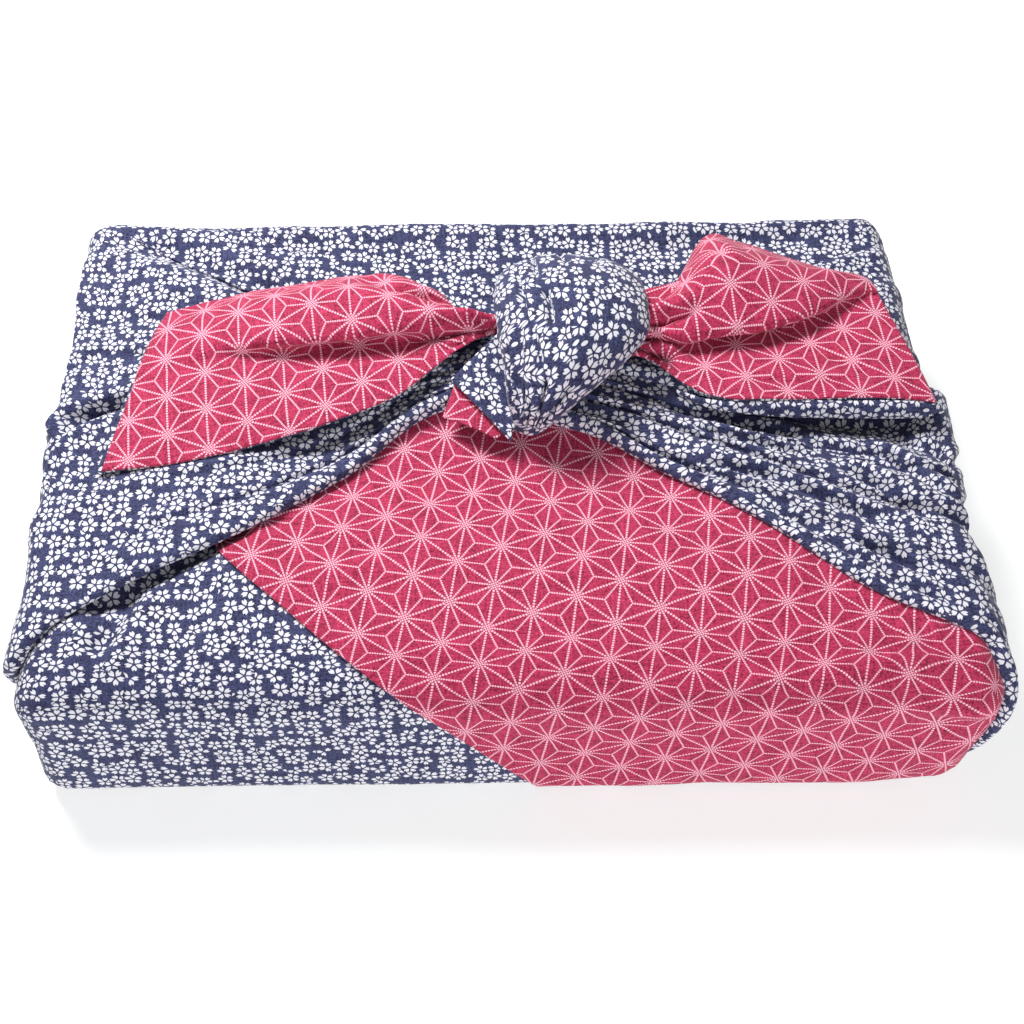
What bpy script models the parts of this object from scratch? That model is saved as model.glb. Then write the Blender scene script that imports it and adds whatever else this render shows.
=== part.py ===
"""A furoshiki: one square of double cloth, tied over a low, flat bundle.

The navy face cloth wraps the bundle, its side corners are drawn up as two bands and tied on
top, and their ends lie out as two tails. The crimson reverse cloth shows on a turned-out front
fold and on the upper side of both tails. Metres, +Z up, +X right, +Y back. The origin is the
centre of the flat underside.
"""

import math

import bmesh
import bpy
import numpy as np
from mathutils import Matrix, Vector

# ---------------------------------------------------------------- driving dimensions
BUNDLE_W = 0.398          # left to right, without the bands
BUNDLE_D = 0.270          # front to back
BUNDLE_H = 0.076          # up to the edge of the top
EDGE_R = 0.012            # soft edges of the wrapped box
CROWN = 0.002             # rise of the middle of the top
BACK_SHIFT = 0.006        # how far the back edge sits to the left of the front edge
CLOTH_T = 0.0014          # one layer of cloth in the tails and the front fold
GAP = 0.0003              # air between the front fold and what it lies on
TAIL_GAP = 0.0007         # air between the two cloths of a tail, which part a little in its folds
CUT_GAP = 0.0006          # air round the knot where a tail's reverse cloth comes out
EDGE_GAP = 0.0044         # from a band's rolled edge to the front fold's edge
SINK = 0.004              # how deep a band reaches into the bundle
FOOT_Z = 0.0005           # lowest point of a band

HALF_W = BUNDLE_W / 2
HALF_D = BUNDLE_D / 2

CELL = 0.0125             # mesh cell of the bundle's skin
BAND_CELLS = (20, 13)     # cells along and across a band
TAIL_CELLS = (15, 15)     # cells along and across a tail
EDGE_POINTS = 14          # points of the front fold's edge along one band

COLLECTION = "furoshiki_wrap"

# Soft ridges (+) and troughs (-) of the bundle's skin, as seen from above.
# x0, y0, x1, y1: ends of the fold; rise: height; width: half width
FOLD_COLUMNS = ("x0", "y0", "x1", "y1", "rise", "width")
BUNDLE_FOLDS = (
    (-0.070, -0.006, 0.060, -0.016, -0.0085, 0.034),    # hollow in front of the knot
    (-0.110, -0.064, 0.110, -0.070, 0.0016, 0.020),     # crest between hollow and front edge
    (-0.196, 0.136, -0.110, 0.092, -0.0030, 0.006),     # crease from the back left corner
    (-0.110, 0.092, -0.050, 0.076, -0.0024, 0.008),
    (-0.190, 0.112, -0.120, 0.080, 0.0016, 0.010),
    (0.070, 0.112, 0.186, 0.128, -0.0018, 0.007),       # creases at the back right
    (0.100, 0.100, 0.190, 0.112, 0.0014, 0.009),
    (-0.030, 0.120, 0.060, 0.098, 0.0012, 0.012),
    (-0.150, 0.130, 0.150, 0.130, 0.0030, 0.012),       # raised back edge
    (-0.163, -0.080, -0.169, -0.116, -0.0034, 0.006),   # short wrinkle under the left band
    (-0.184, -0.100, -0.178, -0.112, 0.0022, 0.010),
)

# Stations of a band, from its foot at the bundle's side, over the edge, to the knot.
# x, z: where the station lies on the plain box; front, back: its two edges in Y;
# lift: height of the cloth above the bundle's skin; roll: extra height of its front edge
BAND_COLUMNS = ("x", "z", "front", "back", "lift", "roll")
BAND_LEFT = (
    (-0.199, 0.0005, -0.116, 0.118, 0.0026, 0.0000),
    (-0.199, 0.0350, -0.122, 0.124, 0.0036, 0.0006),
    (-0.199, 0.0600, -0.122, 0.124, 0.0056, 0.0014),
    (-0.199, 0.0760, -0.114, 0.124, 0.0060, 0.0020),
    (-0.184, 0.0760, -0.095, 0.124, 0.0046, 0.0026),
    (-0.150, 0.0760, -0.076, 0.112, 0.0034, 0.0030),
    (-0.110, 0.0760, -0.049, 0.088, 0.0034, 0.0036),
    (-0.070, 0.0760, -0.017, 0.074, 0.0044, 0.0040),
    (-0.035, 0.0760, 0.014, 0.066, 0.0066, 0.0040),
    (0.020, 0.0760, 0.028, 0.058, 0.0100, 0.0030),
)
BAND_RIGHT_FRONT = (
    (0.199, 0.0005, -0.112, 0.040, 0.0026, 0.0004),
    (0.199, 0.0350, -0.120, 0.040, 0.0048, 0.0010),
    (0.199, 0.0600, -0.122, 0.040, 0.0068, 0.0020),
    (0.199, 0.0760, -0.113, 0.036, 0.0064, 0.0024),
    (0.184, 0.0760, -0.094, 0.034, 0.0044, 0.0024),
    (0.150, 0.0760, -0.074, 0.034, 0.0036, 0.0028),
    (0.110, 0.0760, -0.045, 0.036, 0.0040, 0.0030),
    (0.075, 0.0760, -0.020, 0.040, 0.0056, 0.0030),
    (0.045, 0.0760, 0.000, 0.044, 0.0080, 0.0030),
    (0.015, 0.0760, 0.012, 0.046, 0.0080, 0.0020),
)
BAND_RIGHT_BACK = (
    (0.199, 0.0005, 0.016, 0.118, 0.0026, 0.0000),
    (0.199, 0.0350, 0.014, 0.122, 0.0030, 0.0020),
    (0.199, 0.0600, 0.012, 0.122, 0.0040, 0.0044),
    (0.199, 0.0760, 0.008, 0.122, 0.0036, 0.0064),
    (0.184, 0.0760, 0.007, 0.116, 0.0026, 0.0062),
    (0.150, 0.0760, 0.007, 0.102, 0.0022, 0.0058),
    (0.110, 0.0760, 0.011, 0.092, 0.0028, 0.0052),
    (0.080, 0.0760, 0.024, 0.084, 0.0050, 0.0040),
    (0.045, 0.0760, 0.036, 0.070, 0.0090, 0.0020),
)

# A band's cross-section, as shares of its width from the front (0) to the back edge (1)
BAND_ROUND = 0.045        # rounding of the front edge
BAND_FADE = 0.160         # the back edge slopes down to the skin
ROLL_AT, ROLL_WIDTH = 0.06, 0.09
PLEAT_FADE = 0.12         # share of the band's length over which a pleat fades in or out
FRONT_CELLS = 1.6         # above 1: closer cells at the front edge, where the cloth rolls down

# Pleats that run along a band and meet at the knot.
# across: place between front (0) and back (1) edge; rise; width: half width as a share of
# the band; start, end: where along the band the pleat fades in and out
PLEAT_COLUMNS = ("across", "rise", "width", "start", "end")
PLEATS_LEFT = (
    (0.10, 0.0012, 0.060, 0.25, 1.00),
    (0.22, -0.0010, 0.050, 0.45, 1.00),
    (0.54, -0.0042, 0.034, 0.12, 0.86),
    (0.47, 0.0016, 0.050, 0.10, 0.90),
    (0.70, 0.0012, 0.060, 0.30, 1.00),
    (0.86, -0.0012, 0.060, 0.30, 0.90),
)
PLEATS_RIGHT_FRONT = (
    (0.14, 0.0016, 0.060, 0.30, 1.00),
    (0.27, -0.0024, 0.050, 0.35, 1.00),
    (0.42, 0.0022, 0.060, 0.22, 1.00),
    (0.55, -0.0026, 0.050, 0.25, 0.96),
    (0.70, 0.0016, 0.060, 0.20, 1.00),
)
PLEATS_RIGHT_BACK = (
    (0.45, -0.0014, 0.080, 0.20, 0.90),
    (0.70, 0.0012, 0.080, 0.20, 1.00),
)

# Sections of a tail, from the knot to its end hem. fx..fz and bx..bz: the front and back
# edge; the crease between them is a valley under a lip, then a crest. *_at: place along the
# line from front to back; *_up: height above that line
TAIL_COLUMNS = ("fx", "fy", "fz", "bx", "by", "bz",
                "valley_at", "valley_up", "lip_at", "lip_up", "crest_at", "crest_up")
TAIL_LEFT = (
    (0.020, 0.040, 0.092, 0.020, 0.058, 0.094, 0.45, 0.000, 0.50, 0.003, 0.75, 0.004),
    (-0.004, 0.042, 0.092, -0.003, 0.056, 0.095, 0.44, 0.001, 0.50, 0.004, 0.75, 0.004),
    (-0.020, 0.036, 0.090, -0.018, 0.064, 0.096, 0.46, 0.001, 0.50, 0.006, 0.74, 0.008),
    (-0.045, 0.021, 0.087, -0.043, 0.078, 0.094, 0.48, 0.001, 0.44, 0.009, 0.71, 0.013),
    (-0.072, 0.008, 0.086, -0.068, 0.084, 0.090, 0.50, 0.001, 0.46, 0.009, 0.72, 0.014),
    (-0.104, -0.005, 0.085, -0.100, 0.081, 0.087, 0.51, 0.002, 0.54, 0.008, 0.76, 0.010),
    (-0.136, -0.014, 0.084, -0.128, 0.078, 0.085, 0.50, 0.002, 0.62, 0.005, 0.80, 0.006),
    (-0.175, -0.018, 0.083, -0.152, 0.072, 0.084, 0.45, 0.001, 0.60, 0.002, 0.80, 0.003),
)
TAIL_RIGHT = (
    (0.048, 0.040, 0.090, 0.048, 0.060, 0.094, 0.45, 0.000, 0.50, 0.003, 0.75, 0.004),
    (0.066, 0.038, 0.089, 0.068, 0.066, 0.094, 0.44, 0.001, 0.47, 0.005, 0.74, 0.006),
    (0.082, 0.024, 0.086, 0.084, 0.082, 0.092, 0.45, 0.002, 0.38, 0.010, 0.68, 0.014),
    (0.100, 0.014, 0.086, 0.099, 0.101, 0.090, 0.46, 0.003, 0.35, 0.013, 0.66, 0.018),
    (0.122, 0.013, 0.086, 0.116, 0.101, 0.089, 0.50, 0.004, 0.40, 0.013, 0.70, 0.017),
    (0.146, 0.012, 0.086, 0.136, 0.094, 0.088, 0.60, 0.004, 0.54, 0.011, 0.78, 0.013),
    (0.172, 0.012, 0.086, 0.154, 0.089, 0.088, 0.72, 0.003, 0.74, 0.007, 0.86, 0.008),
    (0.196, 0.014, 0.086, 0.167, 0.087, 0.088, 0.70, 0.001, 0.82, 0.002, 0.91, 0.002),
)

# Share of a tail's length that its red upper cloth covers: out of the knot, short of the end
RED_RANGE = (0.13, 0.985)

# The knot's main lobe: rings along an arc from the back, over the top, down to the front.
# y, z: middle of the ring; x: sideways shift; half_w, half_t: its half width and thickness;
# lean: angle of the ring's plane from upright, in degrees
LOBE_COLUMNS = ("x", "y", "z", "half_w", "half_t", "lean")
KNOT_LOBE = (
    (0.026, 0.074, 0.072, 0.018, 0.010, -80),
    (0.028, 0.080, 0.086, 0.029, 0.013, -60),
    (0.031, 0.071, 0.099, 0.034, 0.015, -32),
    (0.033, 0.053, 0.106, 0.036, 0.016, -8),
    (0.034, 0.034, 0.104, 0.036, 0.017, 18),
    (0.032, 0.018, 0.096, 0.033, 0.016, 40),
    (0.026, 0.010, 0.086, 0.025, 0.013, 62),
    (0.020, 0.016, 0.070, 0.014, 0.008, 84),
)
# The lobe's pleats. angle: place round the ring in degrees (90 is the outer side), rise, width
LOBE_PLEATS = ((118, -0.0030, 9), (145, -0.0016, 9), (60, -0.0010, 10), (100, 0.0010, 12))
LOBE_SIDES = 28
LOBE_RINGS = 15

# The small end that is tucked under the lobe, front left: corners of its top
FLAP_TOP = ((-0.024, 0.023, 0.0880), (0.006, 0.052, 0.1000), (0.020, 0.020, 0.0960),
            (0.004, -0.001, 0.0815))
FLAP_T = 0.007
FLAP_ROUND = 0.002

# The front fold of the reverse cloth: its hem is a straight line over the top and down the
# front; its other edges run along the bands and, here, in front of the knot
HEM_ON_TOP = ((-0.118, -0.059), (-0.038, -0.135))
HEM_AT_FOOT = 0.017
FRONT_UNDER_KNOT = ((-0.014, 0.012), (0.004, 0.007), (0.022, 0.004))
FRONT_LOW_Z = 0.0012
FRONT_SHARES = (0.34, 0.88)   # the part of a band's length that the fold runs along
REGION_MARGIN = 0.030         # the cutting block passes the bundle by this much
CORNER_SLANT = 0.020          # its right side slants forward by this much in the margin


# ---------------------------------------------------------------- small helpers
def row_dicts(columns, rows):
    return [dict(zip(columns, row)) for row in rows]


def column(columns, rows, name):
    index = columns.index(name)
    return np.array([row[index] for row in rows])


def smooth(value):
    t = np.clip(value, 0.0, 1.0)
    return t * t * (3 - 2 * t)


def spline(values, at):
    """Catmull-Rom curve through evenly spaced values, read at 0..1."""
    values = np.asarray(values, float)
    last = len(values) - 1
    pos = np.clip(np.asarray(at, float), 0.0, 1.0) * last
    left = np.minimum(pos.astype(int), last - 1)
    t = pos - left
    padded = np.concatenate([[2 * values[0] - values[1]], values, [2 * values[-1] - values[-2]]])
    p0, p1, p2, p3 = (padded[left + i] for i in range(4))
    return 0.5 * (2 * p1 + (p2 - p0) * t + (2 * p0 - 5 * p1 + 4 * p2 - p3) * t ** 2
                  + (3 * p1 - p0 - 3 * p2 + p3) * t ** 3)


def fold_height(x, y, fold):
    """Height that one straight fold adds at x, y; it fades out past its two ends."""
    dx, dy = fold["x1"] - fold["x0"], fold["y1"] - fold["y0"]
    length = math.hypot(dx, dy)
    along = ((x - fold["x0"]) * dx + (y - fold["y0"]) * dy) / length
    off = ((x - fold["x0"]) * dy - (y - fold["y0"]) * dx) / length
    past = np.maximum(np.maximum(-along, along - length), 0.0)
    return fold["rise"] * np.exp(-(off ** 2 + past ** 2) / fold["width"] ** 2)


def top_relief(x, y):
    crown = CROWN * (1 - (x / HALF_W) ** 2) * (1 - (y / HALF_D) ** 2)
    return crown + sum(fold_height(x, y, f) for f in row_dicts(FOLD_COLUMNS, BUNDLE_FOLDS))


def wrap(points, lift):
    """Put points of the plain box's surface on the bundle's soft skin, lifted off it."""
    low = np.array([-HALF_W, -HALF_D, 0.0]) + EDGE_R
    high = np.array([HALF_W, HALF_D, BUNDLE_H]) - EDGE_R
    inner = np.clip(points, low, high)
    out = points - inner
    out /= np.linalg.norm(out, axis=-1, keepdims=True)
    skin = inner + out * (EDGE_R + np.asarray(lift)[..., None])
    skin[..., 2] += top_relief(skin[..., 0], skin[..., 1]) * smooth(skin[..., 2] / BUNDLE_H)
    skin[..., 0] -= BACK_SHIFT * smooth(skin[..., 1] / HALF_D)
    return skin


# ---------------------------------------------------------------- objects
def new_collection(name):
    collection = bpy.data.collections.new(name)
    bpy.context.scene.collection.children.link(collection)
    return collection


def cloth_material(name, color, roughness):
    material = bpy.data.materials.new(name)
    material.use_nodes = True
    shader = material.node_tree.nodes["Principled BSDF"]
    shader.inputs["Base Color"].default_value = (*color, 1.0)
    shader.inputs["Roughness"].default_value = roughness
    shader.inputs["Metallic"].default_value = 0.0
    return material


def make_object(name, bm, collection, material=None):
    bmesh.ops.recalc_face_normals(bm, faces=bm.faces[:])
    if bm.calc_volume(signed=True) < 0:
        bmesh.ops.reverse_faces(bm, faces=bm.faces[:])
    mesh = bpy.data.meshes.new(name)
    bm.to_mesh(mesh)
    bm.free()
    mesh.shade_smooth()
    obj = bpy.data.objects.new(name, mesh)
    collection.objects.link(obj)
    if material:
        mesh.materials.append(material)
    if collection.name == "cutters":
        obj.hide_render = True
        obj.display_type = "WIRE"
    return obj


def unit_grid(bm, cells):
    bmesh.ops.create_grid(bm, x_segments=cells[0], y_segments=cells[1], size=0.5)


def unit_places(verts):
    """Places of a unit grid's vertices, from 0 to 1 both ways."""
    return np.array([(v.co.x + 0.5, v.co.y + 0.5) for v in verts])


def move_verts(verts, places):
    for vert, place in zip(verts, places):
        vert.co = place


def bundle_solid(collection):
    bm = bmesh.new()
    counts = [max(2, round(size / CELL)) for size in (BUNDLE_W, BUNDLE_D, BUNDLE_H)]
    bmesh.ops.create_cube(bm, size=1.0)
    for axis, count in enumerate(counts):
        edges = [e for e in bm.edges
                 if abs((e.verts[0].co - e.verts[1].co)[axis]) > 0.5]
        bmesh.ops.subdivide_edges(bm, edges=edges, cuts=count - 1, use_grid_fill=True)
    plain = np.array([v.co[:] for v in bm.verts])
    plain = plain * (BUNDLE_W, BUNDLE_D, BUNDLE_H) + (0, 0, BUNDLE_H / 2)
    move_verts(bm.verts, wrap(plain, np.zeros(len(plain))))
    bmesh.ops.triangulate(bm, faces=bm.faces[:])
    return make_object("bundle", bm, collection)


def band_lift(rows, pleats, along, across):
    """Height of a band above the bundle's skin: full inside, rolled down at its edges."""
    lift = spline(column(BAND_COLUMNS, rows, "lift"), along)
    roll = spline(column(BAND_COLUMNS, rows, "roll"), along)
    round_at = np.clip(across / BAND_ROUND, 0, 1)
    front_edge = np.sqrt(round_at * (2 - round_at))
    back_edge = smooth((1 - across) / BAND_FADE)
    hump = roll * np.exp(-((across - ROLL_AT) / ROLL_WIDTH) ** 2)
    height = (lift + hump) * front_edge * back_edge
    for p in row_dicts(PLEAT_COLUMNS, pleats):
        fade = (smooth((along - p["start"]) / PLEAT_FADE + 0.5)
                * smooth((p["end"] - along) / PLEAT_FADE + 0.5))
        height = height + p["rise"] * fade * np.exp(-((across - p["across"]) / p["width"]) ** 2)
    return height


def band_solid(name, rows, pleats, collection):
    bm = bmesh.new()
    unit_grid(bm, BAND_CELLS)
    outer_count = len(bm.verts)
    bmesh.ops.extrude_face_region(bm, geom=bm.faces[:], use_keep_orig=True)
    places = unit_places(bm.verts)
    along = places[:, 0]
    across = places[:, 1] ** FRONT_CELLS
    front = spline(column(BAND_COLUMNS, rows, "front"), along)
    back = spline(column(BAND_COLUMNS, rows, "back"), along)
    plain = np.stack([spline(column(BAND_COLUMNS, rows, "x"), along),
                      front + (back - front) * across,
                      spline(column(BAND_COLUMNS, rows, "z"), along)], axis=1)
    plain[:, 0] = np.clip(plain[:, 0], -HALF_W, HALF_W)
    plain[:, 2] = np.clip(plain[:, 2], FOOT_Z, BUNDLE_H)
    lift = band_lift(rows, pleats, along, across)
    lift[outer_count:] = -SINK
    move_verts(bm.verts, wrap(plain, lift))
    return make_object(name, bm, collection)


def tail_surface(rows, along, across):
    """Points of a tail's cloth: a spline through the guide points of each section."""
    def col(name):
        return spline(column(TAIL_COLUMNS, rows, name), along)
    front = np.stack([col("fx"), col("fy"), col("fz")], axis=1)
    back = np.stack([col("bx"), col("by"), col("bz")], axis=1)
    place = [np.zeros_like(along), col("valley_at") * 0.5, col("valley_at"),
             col("lip_at"), col("crest_at"), np.ones_like(along)]
    height = [np.zeros_like(along), col("valley_up") * 0.7, col("valley_up"),
              col("lip_up"), col("crest_up"), np.zeros_like(along)]
    at = np.array([spline([p[i] for p in place], across[i]) for i in range(len(along))])
    up = np.array([spline([h[i] for h in height], across[i]) for i in range(len(along))])
    points = front + (back - front) * at[:, None]
    points[:, 2] += up
    return points


def tail_sheet(name, rows, along_range, offset, collection, material=None):
    bm = bmesh.new()
    unit_grid(bm, TAIL_CELLS)
    places = unit_places(bm.verts)
    along = along_range[0] + (along_range[1] - along_range[0]) * places[:, 0]
    move_verts(bm.verts, tail_surface(rows, along, places[:, 1]))
    bmesh.ops.triangulate(bm, faces=bm.faces[:])
    bm.normal_update()
    if sum(f.normal.z for f in bm.faces) < 0:
        bmesh.ops.reverse_faces(bm, faces=bm.faces[:])
    mesh = bpy.data.meshes.new(name)
    bm.to_mesh(mesh)
    bm.free()
    mesh.shade_smooth()
    obj = bpy.data.objects.new(name, mesh)
    collection.objects.link(obj)
    if material:
        mesh.materials.append(material)
    solid = obj.modifiers.new("cloth", "SOLIDIFY")
    solid.thickness = CLOTH_T
    solid.offset = offset
    return obj


def lobe_solid(collection):
    bm = bmesh.new()
    rings = []
    rows = KNOT_LOBE
    for step in range(LOBE_RINGS):
        at = step / (LOBE_RINGS - 1)
        ring = {n: float(spline(column(LOBE_COLUMNS, rows, n), at)) for n in LOBE_COLUMNS}
        lean = math.radians(ring["lean"])
        fade = math.sin(math.pi * at)
        verts = []
        for side in range(LOBE_SIDES):
            angle = 360 * side / LOBE_SIDES
            rise = sum(r * math.exp(-((angle - a) / w) ** 2) for a, r, w in LOBE_PLEATS) * fade
            wide = (ring["half_w"] + rise) * math.cos(math.radians(angle))
            thick = (ring["half_t"] + rise) * math.sin(math.radians(angle))
            verts.append(bm.verts.new((ring["x"] + wide,
                                       ring["y"] - thick * math.sin(lean),
                                       ring["z"] + thick * math.cos(lean))))
        rings.append(verts)
    for one, two in zip(rings, rings[1:]):
        for side in range(LOBE_SIDES):
            nxt = (side + 1) % LOBE_SIDES
            bm.faces.new((one[side], one[nxt], two[nxt], two[side]))
    bm.faces.new(rings[0])
    bm.faces.new(rings[-1])
    return make_object("knot_lobe", bm, collection)


def flap_solid(collection):
    bm = bmesh.new()
    bmesh.ops.create_cube(bm, size=1.0)
    order = {(-1, -1): 0, (-1, 1): 1, (1, 1): 2, (1, -1): 3}
    for vert in bm.verts:
        corner = FLAP_TOP[order[(int(math.copysign(1, vert.co.x)),
                                 int(math.copysign(1, vert.co.y)))]]
        drop = FLAP_T if vert.co.z < 0 else 0.0
        vert.co = (corner[0], corner[1], corner[2] - drop)
    obj = make_object("knot_flap", bm, collection)
    soft = obj.modifiers.new("soft_edges", "BEVEL")
    soft.width = FLAP_ROUND
    soft.segments = 2
    return obj


def applied(obj):
    """Bake an object's modifiers into its mesh."""
    graph = bpy.context.evaluated_depsgraph_get()
    mesh = bpy.data.meshes.new_from_object(obj.evaluated_get(graph))
    obj.modifiers.clear()
    obj.data = mesh
    return obj


def boolean(target, other, operation):
    mod = target.modifiers.new(operation.lower(), "BOOLEAN")
    mod.operation = operation
    mod.solver = "EXACT"
    mod.object = other
    applied(target)
    bpy.data.objects.remove(other)
    return target


def grown(source, distance, collection):
    """A copy of a solid with its skin moved outwards."""
    bm = bmesh.new()
    bm.from_mesh(source.data)
    bm.normal_update()
    moved = [v.co + v.normal * distance for v in bm.verts]
    move_verts(bm.verts, moved)
    return make_object(source.name + "_grown", bm, collection)


def band_edge(rows, first, last):
    """Points on the bundle along a band's front edge, from one share of its length on."""
    at = np.linspace(first, last, EDGE_POINTS)
    plain = np.stack([spline(column(BAND_COLUMNS, rows, n), at) for n in ("x", "front", "z")],
                     axis=1)
    plain[:, 0] = np.clip(plain[:, 0], -HALF_W, HALF_W)
    plain[:, 2] = np.minimum(plain[:, 2], BUNDLE_H)
    edge = wrap(plain, np.full(len(plain), CLOTH_T))
    edge[:, 1] -= EDGE_GAP
    return [(x, y) for x, y, z in edge]


def front_region(collection):
    """The space in front of the bands and the knot, as an upright block of their outline."""
    start, end = FRONT_SHARES
    corner = (HALF_W, min(column(BAND_COLUMNS, BAND_RIGHT_FRONT, "front")) - EDGE_GAP)
    far_x, far_y = HALF_W + REGION_MARGIN, -HALF_D - REGION_MARGIN
    outline = [*band_edge(BAND_LEFT, start, end), *FRONT_UNDER_KNOT,
               *band_edge(BAND_RIGHT_FRONT, end, start), corner,
               (far_x, corner[1] - CORNER_SLANT), (far_x, far_y), (-HALF_W, far_y)]
    bm = bmesh.new()
    layers = [[bm.verts.new((x, y, z)) for x, y in outline]
              for z in (FRONT_LOW_Z, BUNDLE_H + REGION_MARGIN)]
    bm.faces.new(layers[0])
    bm.faces.new(layers[1])
    for i in range(len(outline)):
        j = (i + 1) % len(outline)
        bm.faces.new((layers[0][i], layers[0][j], layers[1][j], layers[1][i]))
    return make_object("front_region", bm, collection)


def right_of_hem(collection):
    """A large cube with one side on the plane of the front fold's hem."""
    start, end = (Vector((x, y, BUNDLE_H)) for x, y in HEM_ON_TOP)
    foot = Vector((HEM_AT_FOOT, end.y, 0.0))
    normal = (end - start).cross(foot - end).normalized()
    if normal.x < 0:
        normal.negate()
    bm = bmesh.new()
    bmesh.ops.create_cube(bm, size=BUNDLE_W * 2)
    turn = normal.to_track_quat("X", "Z").to_matrix().to_4x4()
    bm.transform(Matrix.Translation(end + normal * BUNDLE_W) @ turn)
    return make_object("right_of_hem", bm, collection)


def main():
    for obj in list(bpy.data.objects):
        bpy.data.objects.remove(obj)
    pieces = new_collection(COLLECTION)
    cutters = new_collection("cutters")
    navy = cloth_material("navy_blossom_cotton", (0.055, 0.065, 0.180), 0.85)
    crimson = cloth_material("crimson_star_cotton", (0.620, 0.035, 0.110), 0.85)

    bundle = bundle_solid(pieces)
    bands = [band_solid("band_left", BAND_LEFT, PLEATS_LEFT, pieces),
             band_solid("band_right_front", BAND_RIGHT_FRONT, PLEATS_RIGHT_FRONT, pieces),
             band_solid("band_right_back", BAND_RIGHT_BACK, PLEATS_RIGHT_BACK, pieces)]
    lobe = lobe_solid(pieces)
    flap = applied(flap_solid(pieces))

    front = grown(bundle, GAP + CLOTH_T, pieces)
    front.name = "reverse_front"
    front.data.materials.append(crimson)
    boolean(front, grown(bundle, GAP, cutters), "DIFFERENCE")
    boolean(front, front_region(cutters), "INTERSECT")
    boolean(front, right_of_hem(cutters), "INTERSECT")
    for name, rows in (("left", TAIL_LEFT), ("right", TAIL_RIGHT)):
        red = applied(tail_sheet("reverse_tail_" + name, rows, RED_RANGE, 1 + 2 * TAIL_GAP / CLOTH_T,
                                 pieces, crimson))
        for knot_piece in (lobe, flap):
            boolean(red, grown(knot_piece, CUT_GAP, cutters), "DIFFERENCE")
        under = applied(tail_sheet("tail_" + name, rows, (0.0, 1.0), -1.0, pieces))
        bands.append(under)

    face = bundle
    for solid in bands + [lobe, flap]:
        boolean(face, solid, "UNION")
    face.name = "face_cloth"
    face.data.materials.clear()
    face.data.materials.append(navy)


main()
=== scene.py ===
"""Furoshiki wrap: the visual model's cloths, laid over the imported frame. Metres, +Z up."""

import math

import bmesh
import bpy
import numpy as np
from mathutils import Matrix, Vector


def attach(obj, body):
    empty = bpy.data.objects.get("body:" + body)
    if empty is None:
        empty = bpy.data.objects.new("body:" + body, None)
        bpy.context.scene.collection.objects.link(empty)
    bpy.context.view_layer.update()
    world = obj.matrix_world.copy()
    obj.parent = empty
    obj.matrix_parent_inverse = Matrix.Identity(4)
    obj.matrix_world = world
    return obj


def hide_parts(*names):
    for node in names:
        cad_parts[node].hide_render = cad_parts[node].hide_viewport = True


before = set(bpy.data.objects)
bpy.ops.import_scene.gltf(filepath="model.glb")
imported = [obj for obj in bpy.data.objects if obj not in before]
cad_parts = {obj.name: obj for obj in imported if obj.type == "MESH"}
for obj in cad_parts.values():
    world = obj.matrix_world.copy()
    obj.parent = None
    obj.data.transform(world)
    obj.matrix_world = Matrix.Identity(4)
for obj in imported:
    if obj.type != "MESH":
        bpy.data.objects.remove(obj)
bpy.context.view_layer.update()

# ---------------- camera
CAMERA_AT = (-0.0018, -0.383, 0.588)
CAMERA_TILT, CAMERA_TURN = 34.0, -0.8

camera_data = bpy.data.cameras.new("camera")
camera_data.lens = 50
camera_data.sensor_width = 36
camera = bpy.data.objects.new("camera", camera_data)
camera.location = CAMERA_AT
camera.rotation_euler = (math.radians(CAMERA_TILT), 0.0, math.radians(CAMERA_TURN))
bpy.context.scene.collection.objects.link(camera)
bpy.context.scene.camera = camera

# ---------------- sizes shared with the frame
BUNDLE_W, BUNDLE_D, BUNDLE_H = 0.398, 0.27, 0.076
HALF_W, HALF_D = BUNDLE_W / 2, BUNDLE_D / 2
EDGE_R = 0.012
# The top's crown, and how far the back is shifted to the left
CROWN, BACK_SHIFT = 0.002, 0.006
# The bands' feet stand at FOOT_Z, and no cloth reaches below LOWEST_Z
FOOT_Z, LOWEST_Z = 0.0005, -0.0015
SKIN_CELL = 0.0026

# Soft folds: a line from one end to the other, rise (below 0, a trough) and half width
FOLD_COLUMNS = ("x0", "y0", "x1", "y1", "rise", "width")
BUNDLE_FOLDS = (
    (-0.07, -0.006, 0.06, -0.016, -0.0085, 0.034),
    (-0.11, -0.064, 0.11, -0.07, 0.0016, 0.02),
    (-0.196, 0.136, -0.11, 0.092, -0.003, 0.006),
    (-0.11, 0.092, -0.05, 0.076, -0.0024, 0.008),
    (-0.19, 0.112, -0.12, 0.08, 0.0016, 0.01),
    (0.07, 0.112, 0.186, 0.128, -0.0018, 0.007),
    (0.1, 0.1, 0.19, 0.112, 0.0014, 0.009),
    (-0.03, 0.12, 0.06, 0.098, 0.0012, 0.012),
    (-0.182, 0.134, 0.182, 0.134, 0.0075, 0.012),
    (-0.16, 0.11, 0.16, 0.11, 0.003, 0.026),
    (0.14, 0.134, 0.192, 0.136, 0.0022, 0.008),
)
# Wrinkles of the cloth in front of the left band, which the band bridges
UNDER_FOLDS = (
    (-0.17, -0.082, -0.116, -0.047, -0.0052, 0.005),
    (-0.157, -0.08, -0.167, -0.102, -0.0048, 0.0044),
    (-0.151, -0.086, -0.159, -0.114, 0.0032, 0.006),
    (-0.178, -0.094, -0.176, -0.114, 0.0024, 0.008),
    (-0.128, -0.076, -0.136, -0.112, -0.0016, 0.006),
    (-0.112, -0.076, -0.118, -0.11, 0.0014, 0.008),
    (0.118, 0.0055, 0.178, 0.0045, -0.0085, 0.0085),
)
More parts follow.
